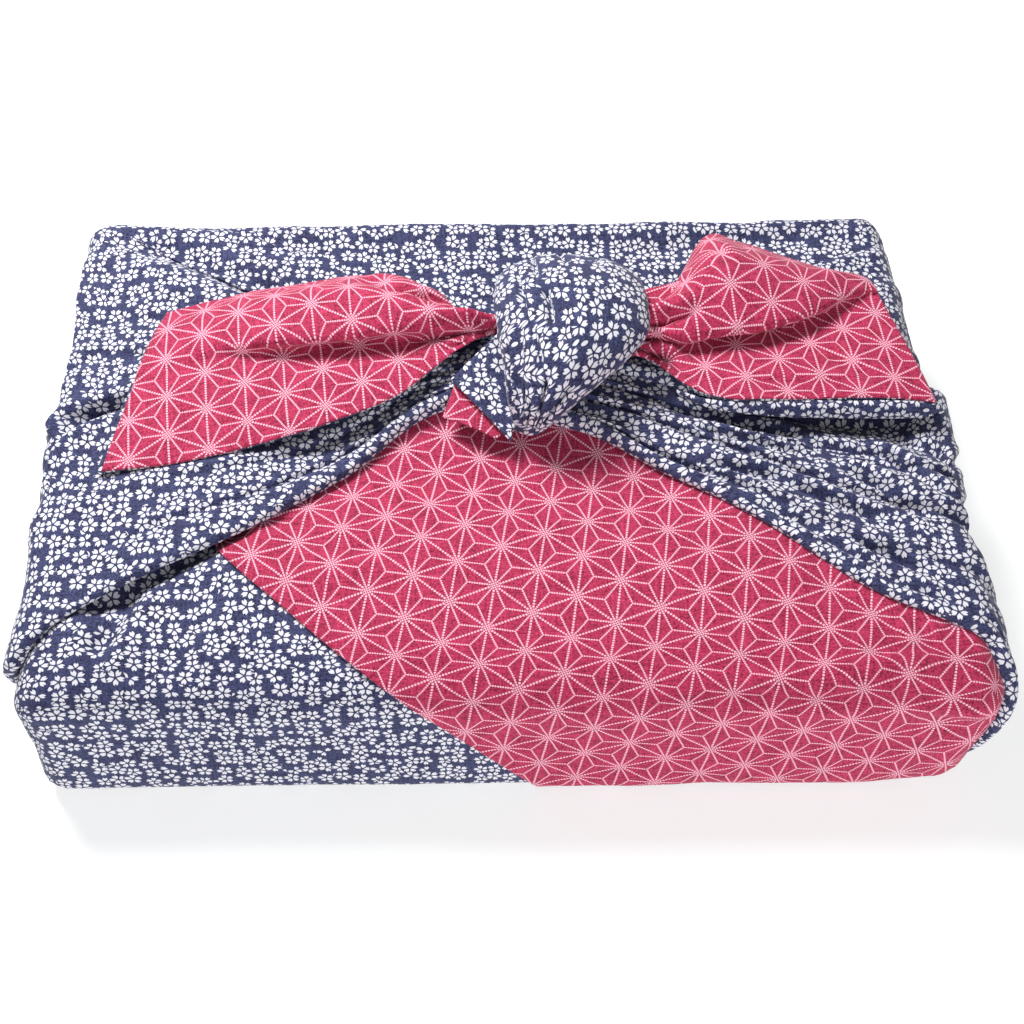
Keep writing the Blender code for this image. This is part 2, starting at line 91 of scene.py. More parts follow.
# Wrinkles of the red front fold alone
FRONT_FOLDS = (
    (0.14, -0.121, 0.172, -0.116, 0.0016, 0.005),
    (0.15, -0.112, 0.182, -0.108, -0.0014, 0.004),
    (0.16, -0.092, 0.152, -0.106, -0.0012, 0.0028),
    (0.167, -0.092, 0.161, -0.102, 0.001, 0.0026),
    (0.1, -0.127, 0.14, -0.125, 0.001, 0.005),
    (0.02, -0.128, 0.075, -0.129, -0.0008, 0.005),
    (-0.098, -0.07, -0.04, -0.062, 0.001, 0.006),
    (-0.096, -0.06, -0.046, -0.052, -0.001, 0.005),
    (-0.05, -0.03, 0.01, -0.046, 0.0012, 0.009),
    (0.04, -0.04, 0.1, -0.07, 0.001, 0.008),
)

# Sharp creases, steep towards the front: of the right band, the front fold and the tails
CREASE_COLUMNS = ("x0", "y0", "x1", "y1", "depth", "width")
RIGHT_CREASES = (
    (0.07, 0.016, 0.138, 0.001, 0.0032, 0.0022),
    (0.078, 0.005, 0.146, -0.017, 0.0044, 0.0024),
    (0.074, -0.011, 0.128, -0.03, 0.0038, 0.0022),
    (0.118, -0.027, 0.166, -0.052, 0.0042, 0.0024),
    (0.138, -0.012, 0.188, -0.054, 0.0048, 0.0026),
    (0.156, 0.0, 0.198, -0.044, 0.0044, 0.0028),
    (0.17, 0.006, 0.208, -0.022, 0.0024, 0.0028),
    (0.18, -0.036, 0.212, -0.068, 0.002, 0.0032),
    (0.12, -0.046, 0.19, -0.096, 0.0024, 0.002),
    (0.19, -0.076, 0.222, -0.104, 0.0016, 0.0032),
    (0.146, -0.056, 0.18, -0.078, 0.003, 0.0024),
    (0.1, -0.034, 0.14, -0.056, 0.003, 0.0022),
    (0.128, -0.002, 0.184, -0.018, 0.004, 0.003),
)
FRONT_CREASES = (
    (0.146, -0.08, 0.166, -0.108, 0.0018, 0.0022),
    (0.163, -0.086, 0.177, -0.11, 0.0016, 0.002),
    (0.177, -0.094, 0.19, -0.114, 0.0016, 0.0022),
    (0.128, -0.066, 0.146, -0.09, 0.0012, 0.0022),
    (0.15, -0.122, 0.19, -0.128, 0.0018, 0.0036),
    (0.09, -0.132, 0.15, -0.138, 0.0012, 0.0036),
    (-0.116, -0.034, -0.044, -0.066, 0.0016, 0.0034),
    (-0.06, -0.056, 0.01, -0.068, 0.001, 0.0034),
    (-0.1, -0.07, -0.064, -0.086, 0.0012, 0.0028),
    (0.166, -0.15, 0.2, -0.16, 0.002, 0.005),
)
TAIL_CREASES = (
    (-0.064, 0.07, 0.0, 0.06, 0.003, 0.0026),
    (-0.046, 0.046, 0.004, 0.054, 0.0022, 0.0022),
    (-0.07, 0.082, -0.042, 0.065, 0.0034, 0.005),
    (-0.046, 0.067, -0.016, 0.055, 0.0034, 0.003),
    (0.14, 0.042, 0.17, 0.02, 0.0014, 0.003),
    (0.1, 0.022, 0.165, 0.021, 0.001, 0.0022),
    (0.098, 0.094, 0.106, 0.072, 0.0018, 0.0026),
    (0.064, 0.05, 0.092, 0.054, 0.0046, 0.0024),
    (0.064, 0.041, 0.08, 0.035, 0.005, 0.0024),
)
# Places where the cloth is pulled out of the plain box's shape: centre, reach and shift
PULL_COLUMNS = ("x", "y", "z", "reach", "dx", "dy", "dz")
PULLS = (
    (0.194, 0.132, 0.076, 0.014, -0.001, 0.002, 0.003),
    (-0.198, 0.133, 0.076, 0.018, -0.004, 0.0035, 0.0034),
    (-0.196, -0.126, 0.008, 0.03, -0.004, 0.0, 0.0),
    (-0.198, -0.122, 0.058, 0.022, -0.0034, -0.001, 0.0),
    (0.194, -0.13, 0.0, 0.022, -0.003, 0.0022, 0.0006),
    (0.198, -0.122, 0.052, 0.024, 0.0055, -0.001, 0.0),
)
# The front leans back, and its upper edge is rounder than the box's other edges
FRONT_LEAN, LEAN_FROM, LEAN_OVER = 0.009, 0.095, 0.04
FRONT_ROUND, ROUND_FROM, ROUND_OVER = 0.006, 0.09, 0.045

# A band's sections, from its foot up the bundle's side and along the top to the knot: place on
# the plain box, front and back edge, lift off the box, and extra rise of the front edge
BAND_COLUMNS = ("x", "z", "front", "back", "lift", "roll")
BAND_LEFT = (
    (-0.199, 0.0005, -0.09, 0.118, 0.0026, 0.0),
    (-0.199, 0.035, -0.101, 0.124, 0.005, 0.0006),
    (-0.199, 0.06, -0.11, 0.124, 0.006, 0.0012),
    (-0.199, 0.076, -0.111, 0.124, 0.006, 0.0014),
    (-0.184, 0.076, -0.091, 0.124, 0.0034, 0.0014),
    (-0.15, 0.076, -0.069, 0.112, 0.0042, 0.0018),
    (-0.11, 0.076, -0.048, 0.088, 0.0044, 0.0024),
    (-0.07, 0.076, -0.016, 0.074, 0.0042, 0.0034),
    (-0.035, 0.076, 0.014, 0.066, 0.0064, 0.0034),
    (0.02, 0.076, 0.028, 0.058, 0.01, 0.003),
)
# The back cloth's folded edge, which lies over the left band's back part
BACK_FOLD = (
    (-0.176, 0.076, 0.124, 0.134, -0.0016, 0.0),
    (-0.162, 0.076, 0.117, 0.133, 0.0004, 0.0002),
    (-0.145, 0.076, 0.106, 0.132, 0.0012, 0.0006),
    (-0.126, 0.076, 0.095, 0.13, 0.0018, 0.0008),
    (-0.106, 0.076, 0.086, 0.128, 0.0018, 0.0008),
    (-0.08, 0.076, 0.08, 0.124, 0.0008, 0.0004),
    (-0.05, 0.076, 0.077, 0.118, -0.0024, 0.0),
)
BAND_RIGHT_FRONT = (
    (0.199, 0.0005, -0.124, 0.04, 0.0026, 0.0006),
    (0.199, 0.035, -0.13, 0.04, 0.006, 0.0008),
    (0.199, 0.06, -0.128, 0.04, 0.0074, 0.001),
    (0.199, 0.076, -0.112, 0.036, 0.0072, 0.0012),
    (0.184, 0.076, -0.098, 0.034, 0.005, 0.0014),
    (0.15, 0.076, -0.079, 0.034, 0.0034, 0.0018),
    (0.11, 0.076, -0.046, 0.036, 0.0036, 0.0022),
    (0.075, 0.076, -0.019, 0.04, 0.005, 0.0024),
    (0.045, 0.076, 0.001, 0.044, 0.0076, 0.0024),
    (0.015, 0.076, 0.012, 0.046, 0.008, 0.002),
)
BAND_RIGHT_BACK = (
    (0.199, 0.0005, 0.018, 0.118, 0.0012, 0.0),
    (0.199, 0.035, 0.017, 0.122, 0.001, 0.001),
    (0.199, 0.06, 0.016, 0.122, 0.0008, 0.0014),
    (0.199, 0.076, 0.015, 0.122, 0.001, 0.0016),
    (0.184, 0.076, 0.014, 0.116, 0.0022, 0.003),
    (0.15, 0.076, 0.014, 0.102, 0.0024, 0.0036),
    (0.11, 0.076, 0.018, 0.092, 0.003, 0.0036),
    (0.08, 0.076, 0.026, 0.084, 0.005, 0.003),
    (0.045, 0.076, 0.036, 0.07, 0.009, 0.002),
)
# The right tail's hem, which curls down and shows the navy side: its top and bottom edge
HEM_COLUMNS = ("x", "y", "z", "out", "drop")
TAIL_HEM = (
    (0.078, 0.02, 0.0876, 0.001, 0.001),
    (0.092, 0.013, 0.0892, 0.0026, 0.0032),
    (0.11, 0.0112, 0.0902, 0.0036, 0.0054),
    (0.13, 0.0106, 0.0908, 0.0044, 0.0066),
    (0.155, 0.0102, 0.0908, 0.0046, 0.0072),
    (0.178, 0.0102, 0.0902, 0.0046, 0.0072),
    (0.19, 0.01, 0.0888, 0.0036, 0.0058),
    (0.196, 0.0104, 0.087, 0.0014, 0.0022),
)
# Pleats along a band. at_foot, at_knot: place between the front (0) and back (1) edge at the
# two ends; rise; width: half width of a soft pleat; start, end: where it fades in and out;
# run, if given: a knife pleat that drops by rise, facing the front, and recovers over the run.
# Widths and runs are shares of the band's width
PLEAT_COLUMNS = ("at_foot", "at_knot", "rise", "width", "start", "end", "run")
PLEATS_LEFT = (
    (0.5, 0.54, 0.003, 0.3, 0.3, 0.8),
    (0.475, 0.56, 0.006, 0.01, 0.3, 0.9, 0.06),
    (0.78, 0.78, -0.007, 0.22, -1.0, 0.3),
    (0.295, 0.745, -0.0034, 0.013, -1.0, 0.5),
    (0.255, 0.705, 0.0014, 0.022, -1.0, 0.5),
    (0.43, 0.64, 0.004, 0.04, 0.1, 0.38),
    (0.31, 0.31, 0.0034, 0.045, 0.1, 0.36),
    (0.42, 0.5, 0.0018, 0.03, 0.06, 0.8),
    (0.11, 0.15, 0.002, 0.012, 0.5, 1.0, 0.05),
    (0.2, 0.3, 0.0022, 0.014, 0.55, 1.0, 0.06),
    (0.3, 0.42, 0.002, 0.014, 0.62, 1.0, 0.06),
    (0.65, 0.66, 0.0024, 0.014, 0.35, 1.0, 0.07),
    (0.76, 0.78, 0.002, 0.014, 0.45, 1.0, 0.06),
    (0.24, 0.26, 0.0014, 0.05, 0.25, 0.7),
    (0.34, 0.33, -0.0014, 0.04, 0.2, 0.6),
    (0.62, 0.6, 0.0014, 0.05, 0.1, 0.5),
    (0.85, 0.85, 0.0012, 0.04, 0.1, 0.6),
)
PLEATS_RIGHT_FRONT = (
    (0.34, 0.4, 0.005, 0.24, 0.36, 0.86),
    (0.52, 0.52, -0.0045, 0.16, -1.0, 0.4),
    (0.3, 0.11, 0.004, 0.012, 0.34, 0.92, 0.08),
    (0.43, 0.4, 0.0038, 0.012, 0.4, 1.0, 0.07),
    (0.56, 0.64, 0.0034, 0.012, 0.34, 0.96, 0.07),
    (0.33, 0.6, 0.0026, 0.014, 0.18, 0.5, 0.08),
    (0.09, 0.05, 0.0012, 0.01, 0.3, 0.8, 0.04),
    (0.82, 0.82, -0.01, 0.08, 0.42, 0.72),
    (0.79, 0.56, -0.0052, 0.08, 0.32, 0.76),
    (0.18, 0.2, 0.0016, 0.04, 0.2, 0.8),
    (0.68, 0.62, 0.0016, 0.05, 0.14, 0.56),
    (0.5, 0.52, 0.0016, 0.03, 0.24, 0.6),
    (0.24, 0.36, 0.0014, 0.03, 0.14, 0.5),
)
PLEATS_RIGHT_BACK = (
    (0.5, 0.5, 0.0024, 0.3, 0.45, 1.1),
    (0.3, 0.3, 0.0016, 0.02, 0.3, 1.0, 0.1),
    (0.45, 0.45, -0.0018, 0.06, 0.2, 0.9),
    (0.7, 0.7, 0.0016, 0.06, 0.2, 1.0),
)
# A tail's sections, from the knot to its end: points of the front and back edge, and place
# between them and height of a valley, of the lip beside it and of the crest
TAIL_COLUMNS = ("fx", "fy", "fz", "bx", "by", "bz",
                "valley_at", "valley_up", "lip_at", "lip_up", "crest_at", "crest_up")
TAIL_LEFT = (
    (0.02, 0.051, 0.092, 0.02, 0.056, 0.094, 0.45, 0.0, 0.5, 0.003, 0.75, 0.004),
    (-0.004, 0.051, 0.092, -0.003, 0.056, 0.094, 0.44, 0.0, 0.49, 0.005, 0.75, 0.004),
    (-0.02, 0.042, 0.091, -0.018, 0.061, 0.095, 0.46, 0.001, 0.48, 0.007, 0.74, 0.008),
    (-0.045, 0.02, 0.088, -0.043, 0.08, 0.094, 0.48, 0.001, 0.45, 0.012, 0.71, 0.013),
    (-0.074, 0.006, 0.086, -0.069, 0.088, 0.09, 0.5, 0.003, 0.46, 0.013, 0.72, 0.016),
    (-0.108, -0.006, 0.085, -0.102, 0.085, 0.087, 0.52, 0.005, 0.53, 0.013, 0.76, 0.014),
    (-0.142, -0.015, 0.084, -0.134, 0.079, 0.085, 0.5, 0.006, 0.61, 0.01, 0.8, 0.009),
    (-0.183, -0.02, 0.083, -0.163, 0.071, 0.083, 0.45, 0.002, 0.6, 0.004, 0.8, 0.003),
)
TAIL_RIGHT = (
    (0.048, 0.04, 0.09, 0.048, 0.06, 0.094, 0.45, 0.0, 0.5, 0.003, 0.75, 0.004),
    (0.066, 0.037, 0.089, 0.068, 0.064, 0.094, 0.42, 0.0, 0.44, 0.005, 0.74, 0.007),
    (0.082, 0.021, 0.089, 0.083, 0.081, 0.092, 0.42, -0.001, 0.38, 0.007, 0.68, 0.014),
    (0.1, 0.012, 0.09, 0.099, 0.109, 0.093, 0.4, -0.002, 0.35, 0.008, 0.66, 0.018),
    (0.122, 0.011, 0.091, 0.116, 0.106, 0.091, 0.44, -0.002, 0.4, 0.008, 0.7, 0.016),
    (0.146, 0.011, 0.091, 0.137, 0.098, 0.089, 0.56, -0.001, 0.54, 0.008, 0.78, 0.011),
    (0.172, 0.011, 0.091, 0.155, 0.091, 0.088, 0.72, 0.0, 0.76, 0.006, 0.88, 0.007),
    (0.193, 0.01, 0.089, 0.169, 0.087, 0.088, 0.8, 0.001, 0.87, 0.002, 0.94, 0.002),
)
# The knot's lobe, from behind the knot over its top to its foot in front: centre, half width,
# half thickness and lean in degrees
LOBE_COLUMNS = ("x", "y", "z", "half_w", "half_t", "lean")
KNOT_LOBE = (
    (0.026, 0.076, 0.072, 0.018, 0.01, -80),
    (0.026, 0.083, 0.086, 0.026, 0.012, -60),
    (0.03, 0.073, 0.099, 0.033, 0.015, -32),
    (0.031, 0.054, 0.106, 0.035, 0.016, -8),
    (0.031, 0.036, 0.105, 0.033, 0.017, 16),
    (0.025, 0.022, 0.099, 0.025, 0.016, 38),
    (0.017, 0.011, 0.09, 0.015, 0.013, 58),
    (0.012, 0.009, 0.078, 0.008, 0.008, 80),
)
# The lobe's pleats. Angles: place round the ring in degrees (90 is the outer side)
LOBE_PLEAT_COLUMNS = ("from_angle", "to_angle", "rise", "width", "start", "end")
LOBE_PLEATS = (
    (112, 106, -0.0052, 2.0, 0.43, 0.6),
    (128, 106, -0.0026, 2.4, 0.55, 0.74),
    (104, 96, -0.0046, 2.2, 0.72, 0.87),
    (156, 154, -0.0074, 3.0, 0.58, 1.0),
    (147, 149, 0.0018, 5.0, 0.5, 1.0),
    (138, 128, -0.0034, 2.4, 0.3, 0.56),
    (122, 116, -0.0034, 2.4, 0.18, 0.44),
    (132, 126, -0.0028, 2.4, 0.74, 0.94),
    (118, 112, -0.0034, 2.4, 0.8, 0.97),
    (92, 88, -0.0034, 2.4, 0.84, 0.97),
    (70, 78, -0.0034, 2.6, 0.74, 0.94),
    (96, 92, -0.0026, 2.6, 0.1, 0.4),
    (60, 66, -0.0028, 3.0, 0.08, 0.38),
    (140, 140, -0.0024, 9.0, 0.5, 0.95),
    (84, 84, 0.0014, 12.0, 0.3, 0.9),
)
# The flap at the knot's front left, by its corners
FLAP_TOP = ((-0.024, 0.026, 0.089), (-0.001, 0.049, 0.096), (0.01, 0.024, 0.083),
            (0.003, -0.004, 0.0822))
# The red under side that peeps out below the flap's hem, and the small red loop at the right
FLAP_UNDER = ((-0.0275, 0.01, 0.082), (-0.022, 0.026, 0.0865), (0.002, 0.006, 0.0815),
              (-0.003, -0.001, 0.08))
RED_LOOP = ((0.061, 0.056, 0.098), (0.066, 0.071, 0.0985), (0.088, 0.077, 0.099),
            (0.079, 0.056, 0.1))

# The front fold's hem: two places on its line across the top, and where it meets the floor
HEM_ON_TOP = ((-0.118, -0.059), (-0.038, -0.135))
HEM_AT_FOOT = 0.017


# ---------------- curves and reliefs
NOISE_TABLE = 64
OCTAVES, OCTAVE_SHIFT = 3, 7.3
# A crease fades over this share of its length at both ends. The ridge behind it: its place and
# width in widths of the valley, and its height as a share of the valley's depth
CREASE_FADE = 0.3
RIDGE_AT, RIDGE_WIDTH, RIDGE_SHARE = 2.0, 1.3, 0.55


def row_dicts(columns, rows):
    return [dict(zip(columns, row)) for row in rows]


def smooth(value):
    t = np.clip(value, 0.0, 1.0)
    return t * t * (3 - 2 * t)


def spline(values, at):
    """Catmull-Rom curve through evenly spaced values, read at 0..1."""
    values = np.asarray(values, float)
    last = len(values) - 1
    pos = np.clip(np.asarray(at, float), 0.0, 1.0) * last
    left = np.minimum(pos.astype(int), last - 1)
    t = pos - left
    padded = np.concatenate([[2 * values[0] - values[1]], values, [2 * values[-1] - values[-2]]])
    p0, p1, p2, p3 = (padded[left + i] for i in range(4))
    return 0.5 * (2 * p1 + (p2 - p0) * t + (2 * p0 - 5 * p1 + 4 * p2 - p3) * t ** 2
                  + (3 * p1 - p0 - 3 * p2 + p3) * t ** 3)


def read_along(columns, rows, at):
    """Each column of a table of sections, read at 0..1 along the table."""
    return {name: spline([row[i] for row in rows], at) for i, name in enumerate(columns)}


def value_noise(u, v, seed):
    """Smooth random heights, about -1..1, one bump per unit."""
    table = np.random.RandomState(seed).uniform(-1, 1, (NOISE_TABLE, NOISE_TABLE))
    iu, iv = np.floor(u).astype(int), np.floor(v).astype(int)
    fu, fv = smooth(u - iu), smooth(v - iv)

    def corner(du, dv):
        return table[(iu + du) % NOISE_TABLE, (iv + dv) % NOISE_TABLE]

    return ((corner(0, 0) * (1 - fu) + corner(1, 0) * fu) * (1 - fv)
            + (corner(0, 1) * (1 - fu) + corner(1, 1) * fu) * fv)


def crumple(u, v, size, seed):
    """Octaves of value noise, the first with bumps of the given size."""
    total = 0.0
    for octave in range(OCTAVES):
        step = size / 2 ** octave
        bumps = value_noise(u / step + OCTAVE_SHIFT * octave, v / step, seed + octave)
        total = total + bumps / 2 ** octave
    return total / sum(0.5 ** octave for octave in range(OCTAVES))


def crumples(u, v, rows, seed=0):
    """Crumples of several sizes. Each row: rise, size and what is added to the seed."""
    return sum(rise * crumple(u, v, size, seed + extra) for rise, size, extra in rows)


def seen_from_line(x, y, row):
    """Places as seen from a row's line: how far along it, how far to its right, its length."""
    dx, dy = row["x1"] - row["x0"], row["y1"] - row["y0"]
    length = math.hypot(dx, dy)
    x, y = x - row["x0"], y - row["y0"]
    return (x * dx + y * dy) / length, (x * dy - y * dx) / length, length


def fold_height(x, y, fold):
    along, off, length = seen_from_line(x, y, fold)
    past = np.maximum(np.maximum(-along, along - length), 0.0)
    return fold["rise"] * np.exp(-(off ** 2 + past ** 2) / fold["width"] ** 2)


def folds(x, y, rows):
    return sum(fold_height(x, y, fold) for fold in row_dicts(FOLD_COLUMNS, rows))


def crease_height(x, y, crease):
    """A valley that fades out at both ends, with the cloth standing up behind it."""
    along, off, length = seen_from_line(x, y, crease)
    along, behind = along / length, -off / crease["width"]
    fade = smooth(along / CREASE_FADE) * smooth((1 - along) / CREASE_FADE)
    valley = np.exp(-behind ** 2)
    ridge = np.exp(-((behind - RIDGE_AT) / RIDGE_WIDTH) ** 2)
    return crease["depth"] * fade * (RIDGE_SHARE * ridge - valley)


def creases(x, y, rows):
    return sum(crease_height(x, y, crease) for crease in row_dicts(CREASE_COLUMNS, rows))


def top_relief(x, y):
    crown = CROWN * (1 - (x / HALF_W) ** 2) * (1 - (y / HALF_D) ** 2)
    return crown + folds(x, y, BUNDLE_FOLDS)


def wrap(points, lift):
    """Put points of the plain box's surface on the bundle's soft skin, lifted off it."""
    low = np.array([-HALF_W, -HALF_D, 0.0]) + EDGE_R
    high = np.array([HALF_W, HALF_D, BUNDLE_H]) - EDGE_R
    inner = np.clip(points, low, high)
    out = points - inner
    out /= np.maximum(np.linalg.norm(out, axis=-1, keepdims=True), 1e-9)
    skin = inner + out * (EDGE_R + np.asarray(lift)[..., None])
    skin[..., 2] += top_relief(skin[..., 0], skin[..., 1]) * smooth(skin[..., 2] / BUNDLE_H)
    skin[..., 0] -= BACK_SHIFT * smooth(skin[..., 1] / HALF_D)
    height, front = smooth(skin[..., 2] / BUNDLE_H), -skin[..., 1]
    skin[..., 1] += FRONT_LEAN * height * smooth((front - LEAN_FROM) / LEAN_OVER)
    skin[..., 2] -= FRONT_ROUND * height * smooth((front - ROUND_FROM) / ROUND_OVER) ** 2
    plain = skin.copy()
    for pull in row_dicts(PULL_COLUMNS, PULLS):
        away = plain - [pull["x"], pull["y"], pull["z"]]
        near = np.exp(-(away ** 2).sum(axis=-1, keepdims=True) / pull["reach"] ** 2)
        skin += near * [pull["dx"], pull["dy"], pull["dz"]]
    skin[..., 2] = np.maximum(skin[..., 2], LOWEST_Z)
    return skin


# ---------------- cloth print
class Value:
    """A number in a shader node tree, for writing a print as a formula."""

    def __init__(self, tree, source):
        self.tree, self.source = tree, source

    def math(self, operation, *others, clamp=False):
        node = add_node(self.tree, "Math", dict(enumerate((self, *others))),
                        operation=operation, use_clamp=clamp)
        return Value(self.tree, node.outputs[0])

    def __add__(self, other):
        return self.math("ADD", other)

    def __sub__(self, other):
        return self.math("SUBTRACT", other)

    def __mul__(self, other):
        return self.math("MULTIPLY", other)

    def __truediv__(self, other):
        return self.math("DIVIDE", other)

    def clamped(self):
        return self.math("ADD", 0.0, clamp=True)

    def minus_from(self, other):
        return (self * -1.0) + other

    def below(self, limit, soft):
        """1 under the limit, 0 above it, with a soft edge."""
        return (self * (-1.0 / soft)).math("ADD", limit / soft + 0.5, clamp=True)


def add_node(tree, kind, inputs, **settings):
    """A node with its settings. Each input gets a number, a colour, a Value or a socket."""
    node = tree.nodes.new("ShaderNode" + kind)
    for name, setting in settings.items():
        setattr(node, name, setting)
    for name, given in inputs.items():
        if isinstance(given, Value):
            given = given.source
        if isinstance(given, bpy.types.NodeSocket):
            tree.links.new(given, node.inputs[name])
        else:
            node.inputs[name].default_value = given
    return node


def vector_parts(tree, socket):
    parts = add_node(tree, "SeparateXYZ", {0: socket}).outputs
    return Value(tree, parts[0]), Value(tree, parts[1])


def combine(tree, x, y):
    return add_node(tree, "CombineXYZ", {0: x, 1: y}).outputs[0]


def noise(tree, x, y, detail=2.0):
    vector = combine(tree, x, y)
    node = add_node(tree, "TexNoise", {"Scale": 1.0, "Detail": detail, "Vector": vector})
    return Value(tree, node.outputs["Fac"])


def mix_color(tree, factor, one, two):
    inputs = {"Factor": factor, 6: one, 7: two}
    return add_node(tree, "Mix", inputs, data_type="RGBA").outputs[2]


def scattered(tree, x, y, feature="F1", jitter=1.0):
    """The nearest (F1) or second nearest (F2) scattered place, and two random numbers of it."""
    inputs = {"Scale": 1.0, "Randomness": jitter, "Vector": combine(tree, x, y)}
    cell = add_node(tree, "TexVoronoi", inputs, voronoi_dimensions="2D", feature=feature)
    return (*vector_parts(tree, cell.outputs["Position"]),
            *vector_parts(tree, cell.outputs["Color"]))


# The sakura print, in millimetres. A petal's measures are shares of the flower's radius
FLOWER_PITCH = 7.3
FLOWER_R = 3.72
FLOWER_JITTER = 0.52
SMALLEST_FLOWER, SIZE_RANGE = 0.88, 0.18
PETALS = 5
PETAL_AT, PETAL_LONG, PETAL_WIDE = 0.61, 0.41, 0.278
PETAL_GAP = 0.088
NOTCH_AT, NOTCH_FLARE = 0.76, 1.5
# How fast the oval's and the notch's values rise across their outlines
OVAL_SLOPE, NOTCH_SLOPE = 0.36, 0.55
PETAL_SOFT = 0.16
# The share of petals that the print has lost, and what tells one flower's draws from another's
LOST_PETALS, RANK_SPREAD = 0.04, 91.0
HALO_R = 1.06 * FLOWER_R
# Loose petals between the flowers
LOOSE_PITCH, LOOSE_SHIFT = 9.0, 40.0
LOOSE_LONG, LOOSE_WIDE, LOOSE_SOFT = 1.5, 0.85, 0.15
NAVY_DARK, NAVY_LIGHT = (0.008, 0.008, 0.032, 1), (0.062, 0.070, 0.168, 1)
PETAL_LIGHT, PETAL_DARK = (0.65, 0.64, 0.69, 1), (0.50, 0.50, 0.57, 1)
# Petals darken where the threads' unevenness is past this, and how fast
SHADE_FROM, SHADE_RATE = 0.8, 0.6


def flower(tree, x, y, feature):
    """One blossom at the nearest or second nearest flower place: shape, surroundings, rank."""
    cx, cy, r1, rank = scattered(tree, x / FLOWER_PITCH, y / FLOWER_PITCH, feature, FLOWER_JITTER)
    dx, dy = x - cx * FLOWER_PITCH, y - cy * FLOWER_PITCH
    radius = (dx * dx + dy * dy).math("SQRT") / (rank * SIZE_RANGE + SMALLEST_FLOWER)
    turn = dy.math("ARCTAN2", dx) / math.tau + r1 + 2.0
    petal = (turn * PETALS).math("FLOOR")
    side = ((turn * PETALS).math("FRACT") - 0.5) * (math.tau / PETALS)
    along, off = radius * side.math("COSINE"), (radius * side.math("SINE")).math("ABSOLUTE")
    a, o = along / FLOWER_R, off / FLOWER_R
    # an oval petal, parted from its neighbours by a thin gap, with a notch in its tip
    ax, ox = (a - PETAL_AT) / PETAL_LONG, o / PETAL_WIDE
    oval = ((ax * ax + ox * ox).math("SQRT") - 1.0) * OVAL_SLOPE
    gap = (o * math.cos(math.pi / PETALS) - a * math.sin(math.pi / PETALS)) + PETAL_GAP
    notch = ((a - NOTCH_AT) - o * NOTCH_FLARE) * NOTCH_SLOPE
    outline = oval.math("MAXIMUM", gap).math("MAXIMUM", notch) * FLOWER_R
    draw = add_node(tree, "TexWhiteNoise", {"Vector": combine(tree, petal, rank * RANK_SPREAD)},
                    noise_dimensions="2D")
    kept = Value(tree, draw.outputs["Value"]).math("GREATER_THAN", LOST_PETALS)
    return outline.below(0.0, PETAL_SOFT) * kept, radius.below(HALO_R, PETAL_SOFT), rank


def loose_petals(tree, x, y):
    cx, cy, r1, _ = scattered(tree, x / LOOSE_PITCH + LOOSE_SHIFT, y / LOOSE_PITCH)
    dx, dy = x - (cx - LOOSE_SHIFT) * LOOSE_PITCH, y - cy * LOOSE_PITCH
    cos, sin = (r1 * math.tau).math("COSINE"), (r1 * math.tau).math("SINE")
    along, off = dx * cos + dy * sin, dy * cos - dx * sin
    oval = (along / LOOSE_LONG).math("POWER", 2.0) + (off / LOOSE_WIDE).math("POWER", 2.0)
    return oval.math("SQRT").below(1.0, LOOSE_SOFT)


def cloth_coordinates(tree):
    """Where a point lies on the flat cloth, in millimetres."""
    x, y = vector_parts(tree, add_node(tree, "UVMap", {}, uv_map="cloth").outputs[0])
    return x * 1000.0, y * 1000.0


# The weave, in millimetres: thread pitch, and how long and how wide the uneven threads are
THREAD = 0.42
SLUB_ACROSS, SLUB_ALONG = 0.9, 0.12
WEAVE_SHARE, SLUB_SHARE = 0.25, 0.9
BUMP_STRENGTH, BUMP_METRES = 0.30, 0.0002


def add_weave(tree, shader, x, y):
    """Fine plain weave with uneven threads as bump. Returns the threads' unevenness."""
    warp = (x * (math.tau / THREAD)).math("SINE")
    weft = (y * (math.tau / THREAD)).math("SINE")
    slub = (noise(tree, x * SLUB_ACROSS, y * SLUB_ALONG)
            + noise(tree, x * SLUB_ALONG, y * SLUB_ACROSS))
    height = warp * weft * WEAVE_SHARE + slub * SLUB_SHARE
    inputs = {"Strength": BUMP_STRENGTH, "Distance": BUMP_METRES, "Height": height}
    bump = add_node(tree, "Bump", inputs)
    tree.links.new(bump.outputs["Normal"], shader.inputs["Normal"])
    return slub


# The dye: how many blotches and grains there are to a millimetre, and how much each counts
BLOTCH_SCALE, GRAIN_SCALE, DYE_DETAIL = 0.10, 1.1, 3.0
BLOTCH_SHARE, GRAIN_SHARE, THREAD_SHARE, DYE_MEAN = 0.5, 2.2, 0.9, 0.45


def dye(tree, x, y, slub):
    """How light the dyed ground is: broad blotches, single threads and fine grain."""
    blotch = noise(tree, x * BLOTCH_SCALE, y * BLOTCH_SCALE, DYE_DETAIL)
    grain = noise(tree, x * GRAIN_SCALE, y * GRAIN_SCALE, DYE_DETAIL)
    mixed = ((blotch - 0.5) * BLOTCH_SHARE + (grain - 0.5) * GRAIN_SHARE
             + (slub - 1.0) * THREAD_SHARE)
    return (mixed + DYE_MEAN).clamped()


COTTON = {"Roughness": 0.82, "Specular IOR Level": 0.22, "Sheen Weight": 0.12,
          "Sheen Roughness": 0.45}


def new_material(name, inputs):
    material = bpy.data.materials.new(name)
    material.use_nodes = True
    shader = material.node_tree.nodes["Principled BSDF"]
    for socket, value in inputs.items():
        shader.inputs[socket].default_value = value
    return material, material.node_tree, shader


